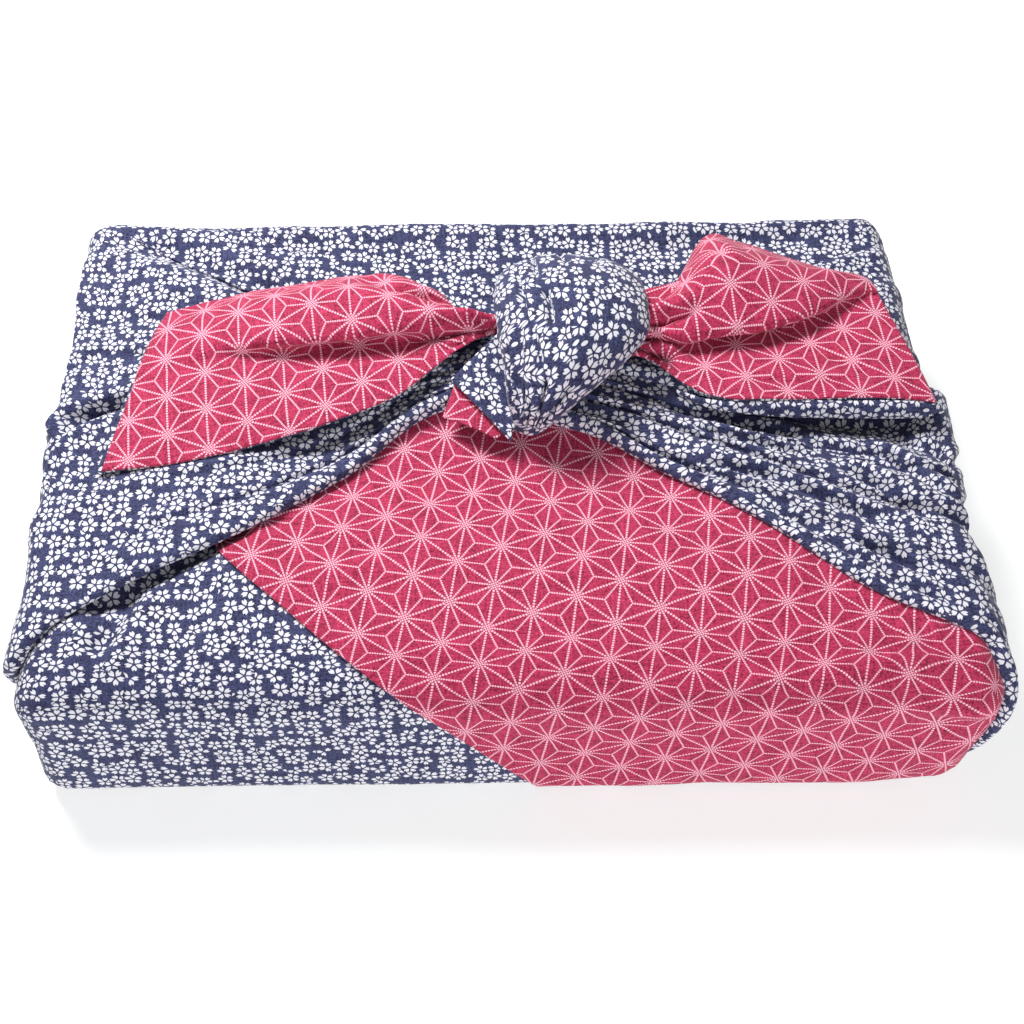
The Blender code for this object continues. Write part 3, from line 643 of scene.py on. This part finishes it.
def blossom_material():
    material, tree, shader = new_material("navy_blossom_cotton", COTTON)
    x, y = cloth_coordinates(tree)
    near, near_halo, near_rank = flower(tree, x, y, "F1")
    far, far_halo, far_rank = flower(tree, x, y, "F2")
    near_on_top = near_rank.math("GREATER_THAN", far_rank)
    far_on_top = near_on_top.minus_from(1.0)
    petals = (near * (far_halo * far_on_top).minus_from(1.0)).math(
        "MAXIMUM", far * (near_halo * near_on_top).minus_from(1.0))
    free = near_halo.math("MAXIMUM", far_halo).minus_from(1.0)
    petals = petals.math("MAXIMUM", loose_petals(tree, x, y) * free)
    slub = add_weave(tree, shader, x, y)
    ground = mix_color(tree, dye(tree, x, y, slub), NAVY_DARK, NAVY_LIGHT)
    white = mix_color(tree, ((slub - SHADE_FROM) * SHADE_RATE).clamped(), PETAL_LIGHT, PETAL_DARK)
    tree.links.new(mix_color(tree, petals, ground, white), shader.inputs["Base Color"])
    return material


# The asanoha print, in millimetres: the dots on the lines from star to star, and the thinner
# dots on the lines to the triangles' centres
STAR_PITCH = 20.0
STAR_ANGLE = 21.0
STAR_AT = (-60.8, -98.6)
DOTS, DOT_R = 15, 0.50
THIN_DOTS, THIN_DOT_R = 11, 0.42
DOT_SOFT, END_SOFT = 0.16, 0.1
CORE_R, CORE_SOFT = 1.9, 0.2
CORE_MESH, CORE_SHARE = 0.95, 0.55
CRIMSON_DARK, CRIMSON_LIGHT = (0.160, 0.004, 0.022, 1), (0.555, 0.043, 0.122, 1)
STAR_PINK, STAR_COVER = (0.82, 0.45, 0.56, 1), 0.92


def star_lines(tree, x, y):
    """Hemp-leaf lattice of dotted lines: stars joined to stars and to triangle centres."""
    masks = []
    x, y = x - STAR_AT[0], y - STAR_AT[1]
    to_centre = STAR_PITCH / math.sqrt(3)
    for k in range(6):
        angle = math.radians(STAR_ANGLE + 30 * k)
        cos, sin = math.cos(angle), math.sin(angle)
        along, off = x * cos + y * sin, y * cos - x * sin
        joins_stars = k % 2 == 0
        spacing = STAR_PITCH * (math.sqrt(3) / 2 if joins_stars else 0.5)
        row = (off / spacing).math("ROUND")
        off = off - row * spacing
        period = STAR_PITCH * (1.0 if joins_stars else math.sqrt(3))
        place = along / period - row * 0.5
        place = (place - place.math("ROUND")) * period
        dot, radius = ((STAR_PITCH / DOTS, DOT_R) if joins_stars
                       else (to_centre / THIN_DOTS, THIN_DOT_R))
        step = place - (place / dot).math("ROUND") * dot
        mask = (step * step + off * off).math("SQRT").below(radius, DOT_SOFT)
        if k == 0:
            near_star = (place * place + off * off).math("SQRT").below(CORE_R, CORE_SOFT)
            core = core_mesh(place, off) * near_star
        if not joins_stars:
            mask = mask * place.math("ABSOLUTE").below(to_centre + radius, END_SOFT)
        masks.append(mask)
    lines = masks[0]
    for mask in masks[1:]:
        lines = lines.math("MAXIMUM", mask)
    return (lines * near_star.minus_from(1.0)).math("MAXIMUM", core)


def core_mesh(along, off):
    """The stars' centres, where the dots run together into a fine mesh."""
    fine = math.tau / CORE_MESH
    waves = (along * fine).math("COSINE") + (off * fine).math("COSINE")
    return (waves + CORE_SHARE).clamped()


def star_material():
    material, tree, shader = new_material("crimson_star_cotton", COTTON)
    x, y = cloth_coordinates(tree)
    cover = star_lines(tree, x, y) * STAR_COVER
    ground_light = dye(tree, x, y, add_weave(tree, shader, x, y))
    ground = mix_color(tree, ground_light, CRIMSON_DARK, CRIMSON_LIGHT)
    tree.links.new(mix_color(tree, cover, ground, STAR_PINK), shader.inputs["Base Color"])
    return material


NAVY = blossom_material()
CRIMSON = star_material()


# ---------------- meshes
def link_object(name, data):
    obj = bpy.data.objects.new(name, data)
    bpy.context.scene.collection.objects.link(obj)
    return obj


# Thickness of the small pieces and of the tails' reverse cloth
SHEET_T = 0.0009
# Each round of laying a cloth out flat overshoots by this, so that it settles sooner
OVER_RELAX = 1.6


def mesh_object(name, points, faces, uvs, material):
    """An object from points, faces and one place on the flat cloth for each point."""
    mesh = bpy.data.meshes.new(name)
    mesh.from_pydata([tuple(p) for p in points], [], [tuple(int(i) for i in f) for f in faces])
    layer = mesh.uv_layers.new(name="cloth")
    corners = np.empty(len(mesh.loops), int)
    mesh.loops.foreach_get("vertex_index", corners)
    layer.data.foreach_set("uv", np.asarray(uvs, float)[corners].ravel())
    mesh.materials.append(material)
    mesh.shade_smooth()
    return link_object(name, mesh)


def flat_layout(points, start, rounds=160):
    """Lay a grid of cloth points out flat, keeping its lengths: where the print falls on it."""
    flat = start.copy()
    n, m = flat.shape[:2]
    links = []
    for di, dj in ((1, 0), (0, 1), (1, 1), (1, -1)):
        a = (slice(0, n - di), slice(max(0, -dj), m - max(0, dj)))
        b = (slice(di, n), slice(max(0, dj), m + min(0, dj)))
        links.append((a, b, np.linalg.norm(points[b] - points[a], axis=-1)))
    for _ in range(rounds):
        shift = np.zeros_like(flat)
        count = np.zeros((n, m, 1))
        for a, b, rest in links:
            d = flat[b] - flat[a]
            length = np.maximum(np.linalg.norm(d, axis=-1), 1e-7)
            move = d * (0.5 * (1 - rest / length))[..., None]
            shift[a] += move
            shift[b] -= move
            count[a] += 1
            count[b] += 1
        flat += OVER_RELAX * shift / count
    return flat


def lengths_across(points):
    """How far each point of a grid lies from the first one of its row, along the row."""
    step = np.linalg.norm(np.diff(points, axis=1), axis=-1)
    return np.concatenate([np.zeros((len(points), 1)), np.cumsum(step, axis=1)], axis=1)


def unrolled(points, column_at):
    """A first flat layout: arc lengths along one column and across from it."""
    spine = points[:, column_at]
    step = np.diff(spine, axis=0)
    forward = np.sign(spine[-1, 0] - spine[0, 0])
    flat_step = np.stack([forward * np.hypot(step[:, 0], step[:, 2]), step[:, 1]], axis=1)
    base = spine[0, :2] + np.concatenate([np.zeros((1, 2)), np.cumsum(flat_step, axis=0)])
    across = points[:, -1, :2] - points[:, 0, :2]
    across /= np.linalg.norm(across, axis=1, keepdims=True)
    place = lengths_across(points)
    place -= place[:, column_at][:, None]
    return base[:, None] + across[:, None] * place[..., None]


def grid_faces(n, m, offset=0):
    i, j = np.meshgrid(np.arange(n - 1), np.arange(m - 1), indexing="ij")
    a = (i * m + j).ravel() + offset
    return np.stack([a, a + m, a + m + 1, a + 1], axis=1)


def upward_normals(points):
    normal = np.cross(np.gradient(points, axis=0), np.gradient(points, axis=1))
    normal = normal / np.maximum(np.linalg.norm(normal, axis=-1, keepdims=True), 1e-9)
    return -normal if normal[..., 2].mean() < 0 else normal


def cloth_shell(name, points, flat, material, thickness):
    """A closed thin sheet: the grid of points, and a copy of it a cloth's thickness below."""
    n, m = points.shape[:2]
    under = points - upward_normals(points) * thickness
    top, bottom = grid_faces(n, m), grid_faces(n, m, n * m)[:, ::-1]
    ring = ([i * m for i in range(n)] + [(n - 1) * m + j for j in range(1, m)]
            + [i * m + m - 1 for i in range(n - 2, -1, -1)] + list(range(m - 2, 0, -1)))
    rim = [(a, a + n * m, b + n * m, b) for a, b in zip(ring, ring[1:] + ring[:1])]
    if np.cross(points[1, 0] - points[0, 0], points[0, 1] - points[0, 0])[2] < 0:
        top, bottom = top[:, ::-1], bottom[:, ::-1]
        rim = [r[::-1] for r in rim]
    uv = flat.reshape(-1, 2)
    return mesh_object(name, np.concatenate([points.reshape(-1, 3), under.reshape(-1, 3)]),
                       [*top.tolist(), *bottom.tolist(), *rim], np.concatenate([uv, uv]), material)


def finish_piece(obj, node):
    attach(obj, "root")
    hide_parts(node)


def make_sheet(name, points, flat, material, thickness, node, held, *rests_on):
    """A sheet of cloth."""
    obj = cloth_shell(name, points, flat, material, thickness)
    finish_piece(obj, node)
    spread = flat - flat.reshape(-1, 2).mean(axis=0)
    one, other = spread[1:, 1:] - spread[:-1, :-1], spread[1:, :-1] - spread[:-1, 1:]
    cells = one[..., 0] * other[..., 1] - one[..., 1] * other[..., 0]


# ---------------- bundle
SKIN_CRUMPLES = ((0.0009, 0.045, 3), (0.0003, 0.012, 9))
# A point this near a side of the plain box lies on it
ON_SIDE = 0.001
FOOT_FADE = 0.01
# The sides of the box: the axis across each side, and which way it faces
TOP, FRONT, BACK, LEFT, RIGHT, UNDER = (2, 1), (1, -1), (1, 1), (0, -1), (0, 1), (2, -1)


def skin_mesh(lift_fn, box_sides):
    """The bundle's skin over some sides of the box: points, flat places and the side of each."""
    axes = [np.linspace(low, high, round((high - low) / SKIN_CELL) + 1)
            for low, high in ((-HALF_W, HALF_W), (-HALF_D, HALF_D), (0, BUNDLE_H))]
    sides = []
    for axis, sign in box_sides:
        u_axis, v_axis = [a for a in (0, 1, 2) if a != axis]
        plain = np.empty((len(axes[u_axis]), len(axes[v_axis]), 3))
        plain[..., u_axis], plain[..., v_axis] = np.meshgrid(axes[u_axis], axes[v_axis],
                                                             indexing="ij")
        plain[..., axis] = axes[axis][-1] if sign > 0 else axes[axis][0]
        x, y, z = plain[..., 0], plain[..., 1], plain[..., 2]
        drop = BUNDLE_H - z
        if (axis, sign) == TOP:
            flat = np.stack([x, y], axis=-1)
        elif (axis, sign) == UNDER:
            flat = np.stack([x, -y - 2 * HALF_D - BUNDLE_H], axis=-1)
        elif axis == 1:
            flat = np.stack([x, sign * (HALF_D + drop)], axis=-1)
        else:
            flat = np.stack([sign * (HALF_W + drop), y], axis=-1)
        sides.append((wrap(plain, lift_fn(x, y, z)), flat, axis, sign))
    return sides


def join_sides(name, sides, material):
    """One mesh from the box's sides, with its own flat places at each side's corners."""
    bm = bmesh.new()
    layer = bm.loops.layers.uv.new("cloth")
    for points, flat, axis, sign in sides:
        verts = [bm.verts.new(p) for p in points.reshape(-1, 3)]
        places = flat.reshape(-1, 2)
        flip = (axis == 1) != (sign < 0)
        for face in grid_faces(*points.shape[:2]):
            corners = face[::-1] if flip else face
            made = bm.faces.new([verts[i] for i in corners])
            made.smooth = True
            for loop, i in zip(made.loops, corners):
                loop[layer].uv = places[i]
    bmesh.ops.remove_doubles(bm, verts=bm.verts[:], dist=0.00002)
    bmesh.ops.recalc_face_normals(bm, faces=bm.faces[:])
    mesh = bpy.data.meshes.new(name)
    bm.to_mesh(mesh)
    bm.free()
    mesh.materials.append(material)
    return link_object(name, mesh)


def skin_lift(x, y, z):
    """Small puffs and crumples of the navy cloth on the bundle."""
    drop = BUNDLE_H - z
    u, v = x, y - drop * (y < -HALF_D + ON_SIDE) + drop * (y > HALF_D - ON_SIDE)
    u = np.where(np.abs(x) > HALF_W - ON_SIDE, np.sign(x) * (HALF_W + drop), u)
    return (crumples(u, v, SKIN_CRUMPLES) + folds(u, v, UNDER_FOLDS)) * smooth(z / FOOT_FADE)


def make_bundle():
    obj = join_sides("bundle_cloth", skin_mesh(skin_lift, (TOP, FRONT, BACK, LEFT, RIGHT, UNDER)),
                     NAVY)
    finish_piece(obj, "face_cloth")


# ---------------- front fold
FRONT_T = 0.0011
FRONT_LIFT, FRONT_DEEPEST = 0.0016, 0.0010
FRONT_CRUMPLES = ((0.0005, 0.030, 21), (0.0002, 0.010, 25))
# Faces whose normal points this far to the right lie on the bundle's right side
FACES_RIGHT = 0.72
# Where the fold ends under the bands. On the right side: heights, and its edge at each of them
FRONT_SIDE_END = ((0, 0.035, 0.060, 0.076), (-0.120, -0.128, -0.126, -0.114))
SIDE_TUCK, SIDE_MARGIN = 0.009, 0.004
# On top: its rearmost place, and how far it reaches in behind a band's edge
FRONT_BACK_END, TUCK = 0.030, 0.010


def front_lift(x, y, z):
    v = y - (BUNDLE_H - z) * (y < -HALF_D + ON_SIDE)
    ripples = folds(x, v, FRONT_FOLDS) + creases(x, v, FRONT_CREASES)
    small = crumples(x, v, FRONT_CRUMPLES)
    return FRONT_LIFT + skin_lift(x, y, z) + np.maximum(ripples + small, -FRONT_DEEPEST)


def turn_print_round_corner(bm):
    """The right side's print goes on from the front's."""
    layer = bm.loops.layers.uv.active
    for face in bm.faces:
        if face.normal.x > FACES_RIGHT:
            for loop in face.loops:
                co = loop.vert.co
                loop[layer].uv = (HALF_W + co.y + HALF_D, -HALF_D - BUNDLE_H + co.z)


def cut_hem(bm):
    """Cut the cloth off clean along its hem, which crosses the top and the front."""
    start, end = (Vector((x, y, BUNDLE_H)) for x, y in HEM_ON_TOP)
    foot = Vector((HEM_AT_FOOT, end.y, 0.0))
    normal = (end - start).cross(foot - end).normalized()
    if normal.x < 0:
        normal.negate()
    bmesh.ops.bisect_plane(bm, geom=bm.verts[:] + bm.edges[:] + bm.faces[:], plane_co=end,
                           plane_no=normal, clear_inner=True)


def front_edge_line(rows):
    """A band's front edge on top of the bundle, as rising x and y."""
    on_top = [row for row in row_dicts(BAND_COLUMNS, rows) if row["z"] == BUNDLE_H]
    on_top.sort(key=lambda row: row["x"])
    return [row["x"] for row in on_top], [row["front"] for row in on_top]


def cut_under_bands(bm):
    """Delete what lies under the bands, a little behind their front edges."""
    left, right = front_edge_line(BAND_LEFT), front_edge_line(BAND_RIGHT_FRONT)
    gone = []
    for face in bm.faces:
        c = face.calc_center_median()
        if c.x > HALF_W - SIDE_MARGIN and c.z < BUNDLE_H - SIDE_MARGIN:
            limit = np.interp(c.z, *FRONT_SIDE_END) + SIDE_TUCK
        else:
            limit = min(np.interp(c.x, *(left if c.x < 0 else right)), FRONT_BACK_END) + TUCK
        if c.y > limit:
            gone.append(face)
    bmesh.ops.delete(bm, geom=gone, context="FACES")


def make_front_fold():
    """The turned-out front of the reverse cloth."""
    obj = join_sides("front_fold", skin_mesh(front_lift, (TOP, FRONT, RIGHT)), CRIMSON)
    bm = bmesh.new()
    bm.from_mesh(obj.data)
    turn_print_round_corner(bm)
    cut_hem(bm)
    cut_under_bands(bm)
    bm.to_mesh(obj.data)
    bm.free()
    solid = obj.modifiers.new("cloth_thickness", "SOLIDIFY")
    solid.thickness = FRONT_T
    solid.offset = -1
    finish_piece(obj, "reverse_front")
    places = np.empty(len(obj.data.loops) * 2)
    obj.data.uv_layers.active.data.foreach_get("uv", places)


# ---------------- bands
BAND_T = 0.0007
ROLL_AT, ROLL_WIDTH = 0.06, 0.09
PLEAT_FADE, LIP_SHARE = 0.12, 0.35
# The front edge is rolled under: rows of points in the roll, and its turn in degrees
ROLL_ROWS, ROLL_FROM, ROLL_TURN = 12, -100, 190
SMALLEST_ROLL = 0.0008
# Where across the band its edge's height is read, and over what it blends into the pleats
EDGE_READ_AT, EDGE_BLEND, RELIEF_BLEND = 0.03, 0.04, 0.06
# Rows of points lie closer together near the front edge, and the back edge is sunk in
ROW_SPREAD, BACK_SUNK = 1.15, 0.0006
BAND_CRUMPLES = ((0.0007, 0.030, 0), (0.0004, 0.011, 5))
BAND_PRINT_STEP = 0.37


def band_height(band, pleats, along, across):
    """How high a band stands off the box, at 0..1 along it and 0..1 across from its front."""
    height = band["lift"] + band["roll"] * np.exp(-((across - ROLL_AT) / ROLL_WIDTH) ** 2)
    for p in row_dicts(PLEAT_COLUMNS, pleats):
        fade = (smooth((along - p["start"]) / PLEAT_FADE + 0.5)
                * smooth((p["end"] - along) / PLEAT_FADE + 0.5))
        off = across - (p["at_foot"] + (p["at_knot"] - p["at_foot"]) * along)
        if "run" in p:
            drop = smooth(0.5 - off / p["width"]) * smooth(1 + off / p["run"])
            lip = LIP_SHARE * np.exp(-((off - p["width"]) / (0.5 * p["run"])) ** 2)
            height = height + p["rise"] * fade * (lip - drop)
        else:
            height = height + p["rise"] * fade * np.exp(-(off / p["width"]) ** 2)
    return height


def make_band(name, rows, pleats, cells, seed, back_fade=0.08, lift_under=0.0008, sharp=()):
    """A drawn-up band: its front edge rolled under, its back edge sunk into the cloth below.

    The roll stands lift_under off the box, and the band sinks over back_fade of its width.
    """
    n, m = cells
    along = np.linspace(0, 1, n)[:, None] * np.ones((1, m))
    band = read_along(BAND_COLUMNS, rows, along)
    width = band["back"] - band["front"]
    edge_h = band_height(band, pleats, along, np.full_like(along, EDGE_READ_AT))
    r = np.maximum((edge_h - lift_under) / 2, SMALLEST_ROLL)
    j = np.arange(m)[None, :] * np.ones((n, 1))
    theta = np.radians(ROLL_FROM + ROLL_TURN * np.clip(j / (ROLL_ROWS - 1), 0, 1))
    rest = np.clip((j - (ROLL_ROWS - 1)) / (m - ROLL_ROWS), 0, 1) ** ROW_SPREAD
    across = np.where(j < ROLL_ROWS, r * (1 - np.cos(theta)) / width,
                      r / width + (1 - r / width) * rest)
    top = band_height(band, pleats, along, across)
    top = edge_h + (top - edge_h) * smooth(rest / EDGE_BLEND)
    fade = smooth((1 - across) / back_fade)
    lift = np.where(j < ROLL_ROWS, lift_under + r * (1 + np.sin(theta)),
                    top * fade - BACK_SUNK * (1 - fade))
    x = np.clip(band["x"], -HALF_W, HALF_W)
    z = np.clip(band["z"], FOOT_Z, BUNDLE_H)
    y = band["front"] + width * across
    inward = np.sign(x) * (BUNDLE_H - z)
    relief = (crumples(x + inward, y, BAND_CRUMPLES, seed)
              + creases(np.abs(x) - inward * np.sign(x), y, sharp))
    lift = lift + relief * smooth(rest / RELIEF_BLEND) * fade
    points = wrap(np.stack([x, y, z], axis=-1), lift)
    flat = flat_layout(points, unrolled(points, m // 2)) + seed * BAND_PRINT_STEP
    make_sheet(name, points, flat, NAVY, BAND_T, "face_cloth", "folded", "bundle_cloth")


# ---------------- tails
TAIL_T = 0.0008
# How far the reverse cloth lies above the face cloth
REVERSE_OFF = 0.0012
TAIL_CRUMPLES = ((0.0009, 0.028, 0), (0.0004, 0.010, 3))
# Small folds that gather at the knot, and how far along the tail they run
GATHER_RISE, GATHER_WAVES, GATHER_SKEW = 0.0014, 34, 3
GATHER_OVER, GATHER_START = 0.45, 0.06
# The right tail's end is bowed outwards
END_BOW, BOW_FROM = 0.0040, 0.55
TAIL_ROUNDS, TAIL_PRINT_TURN, TAIL_PRINT_STEP = 260, 15.0, 0.5
HEM_CELLS, HEM_ROUNDS, HEM_PRINT_STEP = (140, 14), 120, 0.05
HEM_CRUMPLES = ((0.0004, 0.014, 61),)


def tail_surface(rows, along, across):
    """Points of a tail's cloth: a spline through the guide points of each section."""
    col = read_along(TAIL_COLUMNS, rows, along)
    front = np.stack([col["fx"], col["fy"], col["fz"]], axis=1)
    back = np.stack([col["bx"], col["by"], col["bz"]], axis=1)
    zero = np.zeros_like(along)
    place = [zero, col["valley_at"] * 0.5, col["valley_at"], col["lip_at"], col["crest_at"],
             np.ones_like(along)]
    height = [zero, col["valley_up"] * 0.7, col["valley_up"], col["lip_up"], col["crest_up"], zero]
    at = np.array([spline([p[i] for p in place], across[i]) for i in range(len(along))])
    up = np.array([spline([h[i] for h in height], across[i]) for i in range(len(along))])
    points = front + (back - front) * at[:, None]
    points[:, 2] += up
    return points


def make_tail(side, rows, cells, seed, bow, short, navy_rows, band):
    """A tail's two cloths. It ends short by some rows, and navy_rows of its face cloth show."""
    n, m = cells
    along = np.repeat(np.linspace(0, 1, n), m)
    across = np.tile(np.linspace(0, 1, m), n)
    points = tail_surface(rows, along, across)
    gather = smooth(1 - along / GATHER_OVER) * smooth(along / GATHER_START)
    points[:, 2] += GATHER_RISE * gather * np.sin(across * GATHER_WAVES + GATHER_SKEW * along)
    x, y = points[:, 0], points[:, 1]
    points[:, 2] += crumples(x, y, TAIL_CRUMPLES, seed) + creases(x, y, TAIL_CREASES)
    points[:, 0] += bow * np.sin(math.pi * across) * smooth((along - BOW_FROM) / (1 - BOW_FROM))
    points = points.reshape(n, m, 3)[:n - short]
    flat = flat_layout(points, unrolled(points, m // 2), TAIL_ROUNDS)
    turn = math.radians(TAIL_PRINT_TURN)
    flat = flat @ np.array([[math.cos(turn), -math.sin(turn)], [math.sin(turn), math.cos(turn)]])
    upper = points + upward_normals(points) * REVERSE_OFF
    red_rows = len(points) - navy_rows
    navy_name, red_name = "tail_%s_face" % side, "tail_%s_reverse" % side
    make_sheet(red_name, upper[:red_rows], flat[:red_rows], CRIMSON, SHEET_T,
               "reverse_tail_" + side, "draped", navy_name)
    make_sheet(navy_name, points, flat + TAIL_PRINT_STEP, NAVY, TAIL_T, "face_cloth", "draped",
               "bundle_cloth", band)


def make_tail_hem():
    """The navy hem that curls down along the right tail's front edge."""
    n, m = HEM_CELLS
    along = np.linspace(0, 1, n)[:, None] * np.ones((1, m))
    col = read_along(HEM_COLUMNS, TAIL_HEM, along)
    turn = np.linspace(0, math.pi / 2, m)[None, :]
    points = np.stack([col["x"], col["y"] - col["out"] * np.sin(turn),
                       col["z"] - col["drop"] * (1 - np.cos(turn))], axis=-1)
    points[..., 2] += crumples(points[..., 0], points[..., 1], HEM_CRUMPLES)
    flat = flat_layout(points, unrolled(points, 0), HEM_ROUNDS) + HEM_PRINT_STEP
    make_sheet("tail_right_hem", points, flat, NAVY, SHEET_T, "face_cloth", "folded",
               "tail_right_face")


# ---------------- knot
LOBE_CELLS = (120, 240)
# Pleats fade over this share of their length, and over this share of the lobe at its foot
LOBE_FADE, LOBE_FOOT_FADE = 0.3, 0.06
# About how long the lobe is and how far round, for its crumples, which puff up past its middle
LOBE_LENGTH, LOBE_GIRTH, LOBE_PUFF = 0.12, 0.18, 1.25
LOBE_CRUMPLES = ((0.0012, 0.02, 41),)
LOBE_PRINT_AT = 0.21
FLAP_CELLS, FLAP_ROUNDS = 30, 60
FLAP_ARCH = 0.0014
FLAP_CRUMPLES = ((0.0006, 0.012, 0),)
FLAP_PRINT_STEP = 0.013


def make_lobe():
    rings, around = LOBE_CELLS
    at = np.repeat(np.linspace(0, 1, rings), around)
    angle = np.tile(np.linspace(0, 360, around, endpoint=False), rings)
    ring = read_along(LOBE_COLUMNS, KNOT_LOBE, at)
    lean = np.radians(ring["lean"])
    rise = np.zeros_like(at)
    for p in row_dicts(LOBE_PLEAT_COLUMNS, LOBE_PLEATS):
        part = (at - p["start"]) / (p["end"] - p["start"])
        off = angle - (p["from_angle"] + (p["to_angle"] - p["from_angle"]) * part)
        rise += (p["rise"] * np.exp(-(off / p["width"]) ** 2) * smooth(part / LOBE_FADE)
                 * smooth((1 - part) / LOBE_FADE) * smooth((1 - at) / LOBE_FOOT_FADE))
    rise = rise + (crumples(at * LOBE_LENGTH, angle / 360 * LOBE_GIRTH, LOBE_CRUMPLES)
                   * np.sin(np.pi * at ** LOBE_PUFF))
    wide = (ring["half_w"] + rise) * np.cos(np.radians(angle))
    thick = (ring["half_t"] + rise) * np.sin(np.radians(angle))
    points = np.stack([ring["x"] + wide, ring["y"] - thick * np.sin(lean),
                       ring["z"] + thick * np.cos(lean)], axis=-1).reshape(rings, around, 3)
    outer = slice(around // 5, around * 3 // 4)
    step_u = np.linalg.norm(np.diff(points, axis=0), axis=-1)[:, outer].mean(axis=1)
    u = np.concatenate([[0], np.cumsum(step_u)])[:, None]
    closed = np.concatenate([points, points[:, :1]], axis=1)
    v = lengths_across(closed)
    v -= v[:, around // 4][:, None]
    flat = np.stack([-v + LOBE_PRINT_AT, -u * np.ones_like(v)], axis=-1)
    obj = mesh_object("knot_lobe", closed.reshape(-1, 3), grid_faces(rings, around + 1),
                      flat.reshape(-1, 2), NAVY)
    bm = bmesh.new()
    bm.from_mesh(obj.data)
    bmesh.ops.remove_doubles(bm, verts=bm.verts[:], dist=0.00001)
    bmesh.ops.holes_fill(bm, edges=[e for e in bm.edges if len(e.link_faces) == 1], sides=0)
    bmesh.ops.recalc_face_normals(bm, faces=bm.faces[:])
    bm.to_mesh(obj.data)
    bm.free()
    finish_piece(obj, "face_cloth")


def make_flap(name, corners, material, node, seed):
    """A small four-cornered bit of cloth, a little arched."""
    u, v = np.meshgrid(*[np.linspace(0, 1, FLAP_CELLS)] * 2, indexing="ij")
    c = [np.array(p) for p in corners]
    points = ((c[0] * (1 - u[..., None]) + c[1] * u[..., None]) * (1 - v[..., None])
              + (c[3] * (1 - u[..., None]) + c[2] * u[..., None]) * v[..., None])
    points[..., 2] += (FLAP_ARCH * np.sin(np.pi * v) * (1 - u)
                       + crumples(points[..., 0], points[..., 1], FLAP_CRUMPLES, seed))
    flat = flat_layout(points, points[..., :2].copy(), FLAP_ROUNDS) + FLAP_PRINT_STEP * seed
    make_sheet(name, points, flat, material, SHEET_T, node, "folded", "bundle_cloth")


make_bundle()
make_front_fold()
make_tail_hem()
make_band("band_left", BAND_LEFT, PLEATS_LEFT, cells=(190, 130), seed=1)
make_band("band_right_front", BAND_RIGHT_FRONT, PLEATS_RIGHT_FRONT, cells=(220, 140), seed=2,
          sharp=RIGHT_CREASES)
make_band("band_right_back", BAND_RIGHT_BACK, PLEATS_RIGHT_BACK, cells=(150, 80), seed=3)
make_band("back_fold", BACK_FOLD, (), cells=(110, 60), seed=5, back_fade=0.5,
          lift_under=-BACK_SUNK)
make_tail("left", TAIL_LEFT, cells=(120, 90), seed=31, bow=0.0, short=2, navy_rows=1,
          band="band_left")
make_tail("right", TAIL_RIGHT, cells=(110, 90), seed=35, bow=END_BOW, short=0, navy_rows=0,
          band="band_right_back")
make_lobe()
make_flap("knot_flap", FLAP_TOP, NAVY, "face_cloth", seed=51)
make_flap("knot_flap_reverse", FLAP_UNDER, CRIMSON, "reverse_front", seed=53)
make_flap("tail_right_loop", RED_LOOP, CRIMSON, "reverse_tail_right", seed=57)

# ---------------- floor and light
FLOOR = [(-3, -3, 0), (3, -3, 0), (3, 3, 0), (-3, 3, 0)]
PAPER = {"Base Color": (0.46, 0.49, 0.49, 1), "Roughness": 0.9, "Specular IOR Level": 0.1,
         "Emission Color": (1, 0.985, 0.985, 1), "Emission Strength": 0.65}
LIGHT_TARGET = Vector((0, 0, 0.05))
WORLD_LIGHT = 0.32

floor_mesh = bpy.data.meshes.new("floor")
floor_mesh.from_pydata(FLOOR, [], [(0, 1, 2, 3)])
floor = link_object("floor", floor_mesh)
floor_mesh.materials.append(new_material("white_paper", PAPER)[0])


def area_light(name, place, size, power):
    """A round light that the camera doesn't see, turned towards the bundle."""
    data = bpy.data.lights.new(name, "AREA")
    data.shape = "DISK"
    data.size = size
    data.energy = power
    light = link_object(name, data)
    light.location = place
    light.rotation_euler = (LIGHT_TARGET - Vector(place)).to_track_quat("-Z", "Y").to_euler()
    light.visible_camera = False


area_light("key", (-0.37, 0.48, 0.90), size=0.40, power=18.0)
area_light("front_fill", (0.2, -1.6, 0.25), size=1.2, power=24)
world = bpy.data.worlds.new("studio")
world.use_nodes = True
world.node_tree.nodes["Background"].inputs["Color"].default_value = (1.0, 1.0, 1.0, 1)
world.node_tree.nodes["Background"].inputs["Strength"].default_value = WORLD_LIGHT
bpy.context.scene.world = world
bpy.context.scene.view_settings.view_transform = "Standard"
